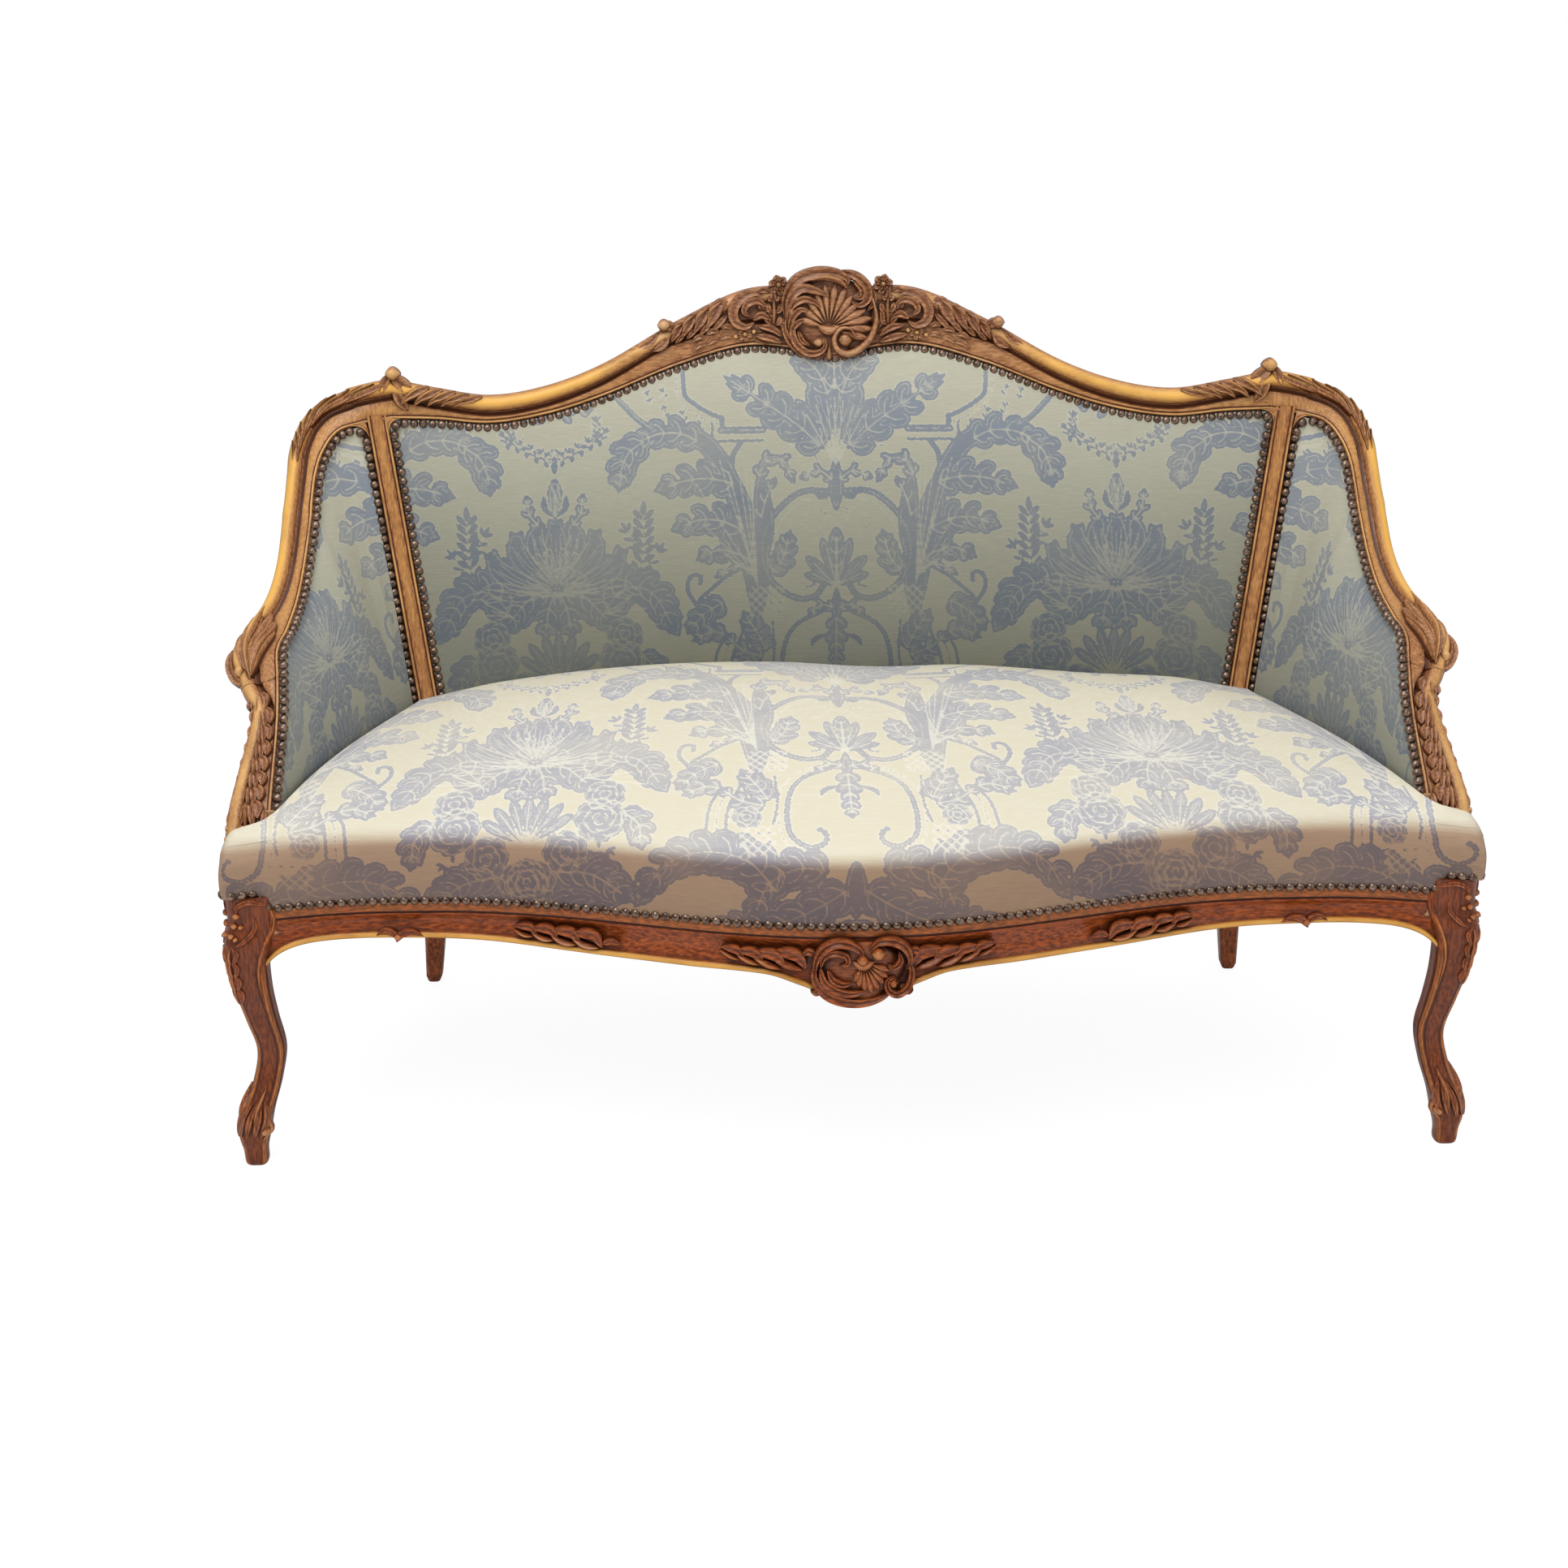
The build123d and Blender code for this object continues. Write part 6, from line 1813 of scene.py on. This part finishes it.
@dataclass
class BackPad:
    """Tight upholstered back between the posts."""

    figure: WovenFigure
    columns: int = 520
    rows: int = 210

    def draw(self) -> Draft:
        """Lines from foot to head bowed out by a crown that fades towards the posts as share^4."""
        draft = Draft("back_upholstery")
        share = np.sin(np.linspace(-math.pi / 2, math.pi / 2, 9))
        share = np.concatenate([[-1.0], np.linspace(-0.998, 0.998, self.columns), [1.0]])
        up = np.concatenate([[0.0], np.linspace(0.004, 0.996, self.rows), [1.0]])
        foot_x, head_x = share * (POST_X - 13.5), share * (POST_X + POST_SPLAY - 13.5)
        head_z = crest_edge(head_x)[0] - 1.0
        foot = np.stack([foot_x, back_y(foot_x, PANEL_LOW - 3), np.full_like(foot_x, PANEL_LOW - 3)], -1)
        head = np.stack([head_x, back_y(head_x, head_z), head_z], -1)
        line = foot[None] + (head - foot)[None] * up[:, None, None]
        height = np.linalg.norm(head - foot, axis=1)
        crown = 34 * (1 - share**4)[None, :] * (1 - (2 * up[:, None] - 1) ** 2) ** 0.9
        to_side = (1 - np.abs(share))[None, :] * foot_x.max()
        to_end = np.minimum(up, 1 - up)[:, None] * height[None, :]
        edge = np.minimum(to_side, to_end)
        along_edge = np.where(to_side < to_end, up[:, None] * height, head_x[None, :])
        pinch = 0.8 * np.exp(-edge / 8) * np.cos(2 * math.pi * along_edge / NAIL_PITCH)
        stand = -9 + 7.5 * smooth(-0.2, 1.2, edge) + crown - pinch
        points = line + stand[..., None] * OUT_FACE
        across = lerp(foot_x[None, :], head_x[None, :], up[:, None])
        # painted shade: the cloth darkens towards its foot, where the seat's shadow falls
        wear_and_shade = np.clip((872 - points[..., 2]) / 410, 0, 1) ** 0.9
        draft.grid(points, self.figure.marks(across - 4, up[:, None] * height[None, :] + 6, wear_and_shade),
                   outward=OUT_FACE)
        return draft


@dataclass
class ArmPad:
    """Upholstered inside of an arm, between the rail's moulding and the seat."""

    figure: WovenFigure
    columns: int = 210
    rows: int = 170

    def draw(self) -> Draft:
        """Lines from the foot up to the rail's inner edge, bowed out by a low crown."""
        draft = Draft("arm_upholstery")
        run = whole_arm()
        shares = np.linspace(-0.072, 0.93, self.columns)
        under = along(ARM_FORM, shares)[..., -1]
        up = np.concatenate([[0.0], np.linspace(0.006, 0.994, self.rows), [1.0]])
        head = run.at(shares, -0.8, 0.0)
        foot_x, foot_y = foot_point(under)
        foot = np.stack([foot_x, foot_y, PANEL_LOW - 16 * under - 12], -1)
        head_out = run.at(shares, -0.8, 1.0) - head
        rise = head - foot
        length = np.linalg.norm(rise, axis=1)
        inward = np.stack([-np.ones_like(shares) * 1.0, -0.5 * (1 - under) - 0.2,
                           np.full_like(shares, 0.15)], -1)
        inward = unit(inward - (inward * unit(rise)).sum(1, keepdims=True) * unit(rise))
        blend = smooth(0.8, 1.0, up)[:, None, None]
        out = unit(lerp(inward[None], head_out[None], blend))
        crown = 19 * np.minimum(1, length / 220) * np.minimum(1, 0.4 + np.maximum(shares, 0) * 4)
        ends = np.minimum(1, (0.93 - shares) * 12) * np.minimum(1, (shares + 0.072) * 30 + 0.15)
        bow = (crown * ends)[None, :] * (1 - (2 * up[:, None] - 1) ** 2) ** 0.9
        edge = np.minimum(up, 1 - up)[:, None] * length[None, :]
        place = np.concatenate([[0.0],
                                np.cumsum(np.linalg.norm(np.diff(run.at(shares, -6, 0), axis=0), axis=1))])
        pinch = 0.8 * np.exp(-edge / 8) * np.cos(2 * math.pi * place / NAIL_PITCH)[None, :]
        stand = -9 + 7.5 * smooth(-0.2, 1.2, edge) + bow - pinch
        points = foot[None] + rise[None] * up[:, None, None] + stand[..., None] * out
        middle = np.concatenate([[0.0],
                                 np.cumsum(np.linalg.norm(np.diff((head + 2 * foot) / 3, axis=0), axis=1))])
        across = 372 + (middle - middle[-1] * 0.42)
        height = up[:, None] * length[None, :] + 30
        # painted shade: the cloth darkens towards the seat
        wear_and_shade = np.clip((760 - points[..., 2]) / 420, 0, 0.8)
        draft.grid(points, self.figure.marks(np.broadcast_to(across, height.shape), height, wear_and_shade),
                   outward=(-1, -0.4, 0.1))
        return draft


@dataclass
class OutsideCloths:
    """Damask stretched over the outsides, and black lining under the seat."""

    figure: WovenFigure

    def back(self) -> tuple[Draft, float, float]:
        """Cloth over the back from the crest rail to the rear seat rail."""
        draft = Draft("outside_back_cloth")
        share, up = np.linspace(-1, 1, 300), np.linspace(0, 1, 150)
        head_x, foot_x = share * (POST_X + POST_SPLAY - 20), share * (POST_X - 22.5)
        head_z = crest_edge(head_x)[0] + 13
        bow = back_y(foot_x, RAIL_TOP) - back_y(POST_X - 23, RAIL_TOP)
        foot = np.stack([foot_x, POST_Y + 15 + bow + 1.6, np.full_like(foot_x, 276.0)], -1)
        knee = np.stack([foot_x * 1.005, POST_Y + 15.6 + bow + 1.2, np.full_like(foot_x, 352.0)], -1)
        waist_x = lerp(foot_x, head_x, 0.08)
        waist_y = back_y(waist_x, PANEL_LOW) + RAIL_DEPTH + 1.8
        waist = [np.stack([waist_x, waist_y, np.full_like(foot_x, z)], -1) for z in (392.0, 433.0)]
        head = np.stack([head_x, back_y(head_x, head_z) + RAIL_DEPTH + 1.6, head_z], -1)
        knots = np.stack([foot, knee, *waist, head])
        level = np.array([0.0, 0.12, 0.2, 0.28, 1.0])
        points = np.stack([np.stack([np.interp(up, level, knots[:, i, k]) for i in range(300)],
                                    1) for k in range(3)], -1)
        height = np.concatenate([np.zeros((1, 300)),
                                 np.cumsum(np.linalg.norm(np.diff(points, axis=0), axis=2), 0)])
        width = float(np.linalg.norm(np.diff(points[75], axis=0), axis=1).sum())
        draft.grid(points, self.figure.marks(points[..., 0], height - 120, 0.0), outward=(0, 1, 0))
        return draft, width, float(height[-1].mean())

    def arm(self) -> tuple[Draft, float, float]:
        """Cloth over the outside of an arm, from the rail to the side seat rail."""
        draft = Draft("outside_arm_cloth")
        run = whole_arm()
        shares, up = np.linspace(-0.06, 0.925, 150), np.linspace(0, 1, 110)
        width = np.interp(shares, run.places, run.width)
        head = run.at(shares, width - 9, -28.3)
        under = along(ARM_FORM, shares)[..., -1]
        foot_x, foot_y = side_point(np.maximum(under, 0.03), 19.2)
        foot = np.stack([foot_x, foot_y, np.full_like(foot_x, 338.0)], -1)
        rise = head - foot
        hollow = -5 * np.sin(math.pi * up)[:, None, None] * np.array([1.0, 0.15, 0.0])
        points = foot[None] + rise[None] * up[:, None, None] + hollow
        # the cloth starts on the outer face of the post
        z = lerp(338.0, 806.0, up)
        post = np.stack([np.where(z < PANEL_LOW, 568.5, post_x(z) + 24.5),
                         back_y(post_x(np.maximum(z, PANEL_LOW)), np.maximum(z, PANEL_LOW)) + 25.0, z], -1)
        swell = 8.5 * np.sin(math.pi * np.linspace(0, 1, 13)[:-1]) ** 0.6
        start = lerp(post[:, None], points[:, :1], np.linspace(0, 1, 13)[None, :-1, None])
        start = start + swell[None, :, None] * np.array([0.8, 0.6, 0.0])
        points = np.concatenate([start, points], 1)
        middle = points[55]
        across = np.concatenate([[0.0], np.cumsum(np.linalg.norm(np.diff(middle, axis=0), axis=1))])
        height = np.concatenate([np.zeros((1, 162)),
                                 np.cumsum(np.linalg.norm(np.diff(points, axis=0), axis=2), 0)])
        draft.grid(points, self.figure.marks(np.broadcast_to(across + 180, (110, 162)), height, 0.0),
                   outward=(1, 0.2, 0))
        return draft, float(across[-1]), float(height[-1].mean())

    def dust(self) -> tuple[Draft, float, float]:
        """Black lining tacked under the rails, sagging a little between them."""
        draft = Draft("dust_cover_cloth")
        share, across = np.linspace(0, 1, 90), np.linspace(-1, 1, 160)
        side_x, _ = side_point(share * 0.96, -8)
        x = side_x[:, None] * across[None, :]
        bow = back_y(np.minimum(np.abs(x), 518), RAIL_TOP) - back_y(521, RAIL_TOP)
        rear = np.where(np.abs(x) < 518, POST_Y + 9 + bow, 199.0)
        front = front_curve(np.minimum(np.abs(x), 640)) + 31
        y = lerp(rear, front, share[:, None])
        edge = np.minimum(share, 1 - share)[:, None] * 4 * (1 - across[None, :] ** 4)
        z = RAIL_LOW - 4.2 - 6 * np.clip(edge, 0, 1)
        draft.grid(np.stack([x, y, z], -1), (0.5, 0, 0), outward=(0, 0, -1))
        return draft, float(2 * side_x.mean()), float((rear - front).mean())


# ---- Studio ----
@dataclass
class Studio:
    """Pale floor, soft lamps, and the camera that took the picture."""

    place: tuple[float, float, float] = (-0.1418, -2.7191, 1.2450)
    yaw: float = 0.0247
    pitch: float = 0.3093
    roll: float = -0.0070
    focal_px: float = 2801.28
    picture_px: float = 1932.0

    def build(self) -> None:
        """Make everything that isn't the sofa."""
        self._camera()
        self._floor()
        self._lamp("key", (-1.1, -1.9, 3.3), 2.4, 58)
        self._lamp("fill", (2.6, -2.6, 2.0), 2.2, 16)
        self._lamp("top", (0.2, 0.2, 3.4), 2.6, 34)
        self._world()

    def _camera(self) -> None:
        """Camera from the measured position and angles."""
        forward = np.array([math.sin(self.yaw) * math.cos(self.pitch),
                            math.cos(self.yaw) * math.cos(self.pitch), -math.sin(self.pitch)])
        right = np.array([math.cos(self.yaw), -math.sin(self.yaw), 0.0])
        up = np.cross(right, forward)
        c, s = math.cos(self.roll), math.sin(self.roll)
        axes = [c * right + s * up, -s * right + c * up, -forward]
        data = bpy.data.cameras.new("camera")
        data.sensor_width, data.lens = 36.0, 36.0 * self.focal_px / self.picture_px
        data.clip_end = 50.0
        made = bpy.data.objects.new("camera", data)
        bpy.context.scene.collection.objects.link(made)
        made.matrix_world = Matrix([[axes[0][i], axes[1][i], axes[2][i],
                                     self.place[i]] for i in range(3)] + [[0, 0, 0, 1]])
        bpy.context.scene.camera = made

    def _floor(self) -> None:
        """A broad white floor that keeps a faint shadow."""
        s = Shader("studio floor")
        camera_ray = s.add("LightPath", out="Is Camera Ray")
        plain = s.add("BsdfDiffuse", {"Color": srgb("F4F4F4")}, 0)
        glow = s.add("Emission", {"Color": (1, 1, 1, 1), "Strength": 1.16}, 0)
        seen = s.add("Math", (camera_ray, 0.8), 0, operation="MULTIPLY")
        mixed = s.add("MixShader", (seen, plain, glow), 0)
        mesh = bpy.data.meshes.new("floor")
        mesh.from_pydata([(-30, -30, 0), (30, -30, 0), (30, 30, 0), (-30, 30, 0)], [], [(0, 1, 2, 3)])
        mesh.materials.append(s.finish(mixed))
        made = bpy.data.objects.new("floor", mesh)
        bpy.context.scene.collection.objects.link(made)

    def _lamp(self, name: str, place: tuple[float, float, float], size: float, power: float) -> None:
        """A square soft lamp aimed at the seat."""
        data = bpy.data.lights.new(name, "AREA")
        data.size, data.energy = size, power
        made = bpy.data.objects.new(name, data)
        bpy.context.scene.collection.objects.link(made)
        back = unit(np.array(place) - (0.0, 0.0, 0.5))
        side = unit(np.cross([0.0, 1.0, 0.02], back))
        up = np.cross(back, side)
        made.matrix_world = Matrix([[side[i], up[i], back[i], place[i]] for i in range(3)] + [[0, 0, 0, 1]])

    def _world(self) -> None:
        """White to the camera, a softer grey as light."""
        s = Shader("studio", world=True)
        camera_ray = s.add("LightPath", out="Is Camera Ray")
        room = s.add("Background", {0: srgb("F6F7FA"), 1: 0.42}, 0)
        white = s.add("Background", {0: (1, 1, 1, 1), 1: 1.0}, 0)
        bpy.context.scene.world = s.finish(s.add("MixShader", (camera_ray, room, white), 0))


# ---- Assembly ----
@dataclass
class Sofa:
    """The whole sofa, one sub-assembly after another."""

    nodes: dict

    def build(self) -> None:
        """Build every visible piece and give the CAD nodes that stay their materials."""
        wood = CarvedWood().material()
        upright = CarvedWood("waxed walnut, upright grain", (60.0, 60.0, 12.0)).material()
        bronze = PlainFinish("aged bronze nails", "58443A", "9A8270", 0.24, 0.8).material()
        beech = PlainFinish("unpolished beech", "B48A5C", "C9A376", 0.7, 0.0, (6.0, 60.0, 60.0)).material()
        steel = PlainFinish("coppered spring wire", "9A6A48", "B9825A", 0.4, 0.9).material()
        lining = PlainFinish("black lining cloth", "1C1B1D", "2A292B", 0.92, 0.0, (300.0, 300.0, 300.0),
                             0.6).material()
        figure = WovenFigure().draw()
        # the back's damask is a darker, greener copy of the seat's, partly painted shade and partly fading; the last
        # two colours of each are its painted-shade colours
        seat_cloth = Damask("damask of the seat", "E6DEC4", "B5B4B9", "F0EBDB", "A08066", "6C5E5E").material()
        back_cloth = Damask("damask of the back", "C1BEA9", "8F969F", "CFCCBB", "7D7E71", "5F666D").material()
        self._frame(wood, upright)
        shown(PanelCorners().draw(), wood, "show_wood")
        shown(NailRows().draw(), bronze, "")
        self._soft(figure, seat_cloth, back_cloth, lining)
        plain = (
            (beech, ("rear_rail", "back_lower_rail", "back_uprights", "arm_stay_rail_right", "arm_stay_rail_left",
                     "seat_brace", "front_corner_block_right", "front_corner_block_left",
                     "rear_corner_block_right", "rear_corner_block_left", "joint_pegs")),
            (steel, ("seat_springs",)),
        )
        for material, names in plain:
            for name in names:
                data = self.nodes[name].data
                data.materials.clear()
                data.materials.append(material)
        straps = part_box("seat_webbing")
        LOG.info("webbing box %s", straps)

    def _frame(self, wood, upright) -> None:
        """Show wood, right and left."""
        shown(CrestRail().draw(), wood, "show_wood", ["crest_rail"])
        shown(FrontRail().draw(), wood, "show_wood", ["front_rail"])
        rail, support = Arm().draw()
        lengthwise = CarvedWood("waxed walnut, grain to the back", (60.0, 14.0, 60.0)).material()
        pairs = [(rail, "arm_rail", upright), (support, "arm_support", upright),
                 (FrontLeg().draw(), "front_leg", upright),
                 (RearPost().draw(), "rear_post", upright), (SideRail().draw(), "side_rail", lengthwise)]
        for draft, node, timber in pairs:
            base = draft.name
            left = draft.mirrored(f"{base}_left")
            draft.name = f"{base}_right"
            shown(draft, timber, "show_wood", [f"{node}_right"])
            shown(left, timber, "show_wood", [f"{node}_left"])

    def _soft(self, figure, seat_cloth, back_cloth, lining) -> None:
        """Upholstery and stretched cloths."""
        seat = shown(Seat(figure).draw(), seat_cloth, "damask",
                     ["seat_cover", "seat_stuffing", "seat_canvas"], layer="weave")
        back = shown(BackPad(figure).draw(), back_cloth, "damask",
                     ["back_cover", "back_stuffing", "back_canvas", "back_webbing"], layer="weave")
        arm = ArmPad(figure).draw()
        left = arm.mirrored("arm_upholstery_left")
        arm.name = "arm_upholstery_right"
        for draft, side in ((arm, "right"), (left, "left")):
            made = shown(draft, back_cloth, "damask", [f"arm_cover_{side}", f"arm_stuffing_{side}"],
                         layer="weave")
        cloths = OutsideCloths(figure)
        draft, width, length = cloths.back()
        made = shown(draft, back_cloth, "damask", ["outside_back"], layer="weave")
        draft, width, length = cloths.arm()
        left = draft.mirrored("outside_arm_cloth_left")
        draft.name = "outside_arm_cloth_right"
        for cloth, side in ((draft, "right"), (left, "left")):
            made = shown(cloth, back_cloth, "damask", [f"outside_arm_{side}"], layer="weave")
        draft, width, length = cloths.dust()
        made = shown(draft, lining, "dust_cloth", ["dust_cover", "seat_webbing"])


def main() -> None:
    """Load the frame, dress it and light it."""
    logging.basicConfig(level=logging.INFO, format="%(name)s %(message)s")
    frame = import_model()
    Sofa(frame["nodes"]).build()
    Studio().build()
    bpy.context.scene.view_settings.view_transform = "Standard"


if __name__ == "__main__":
    main()
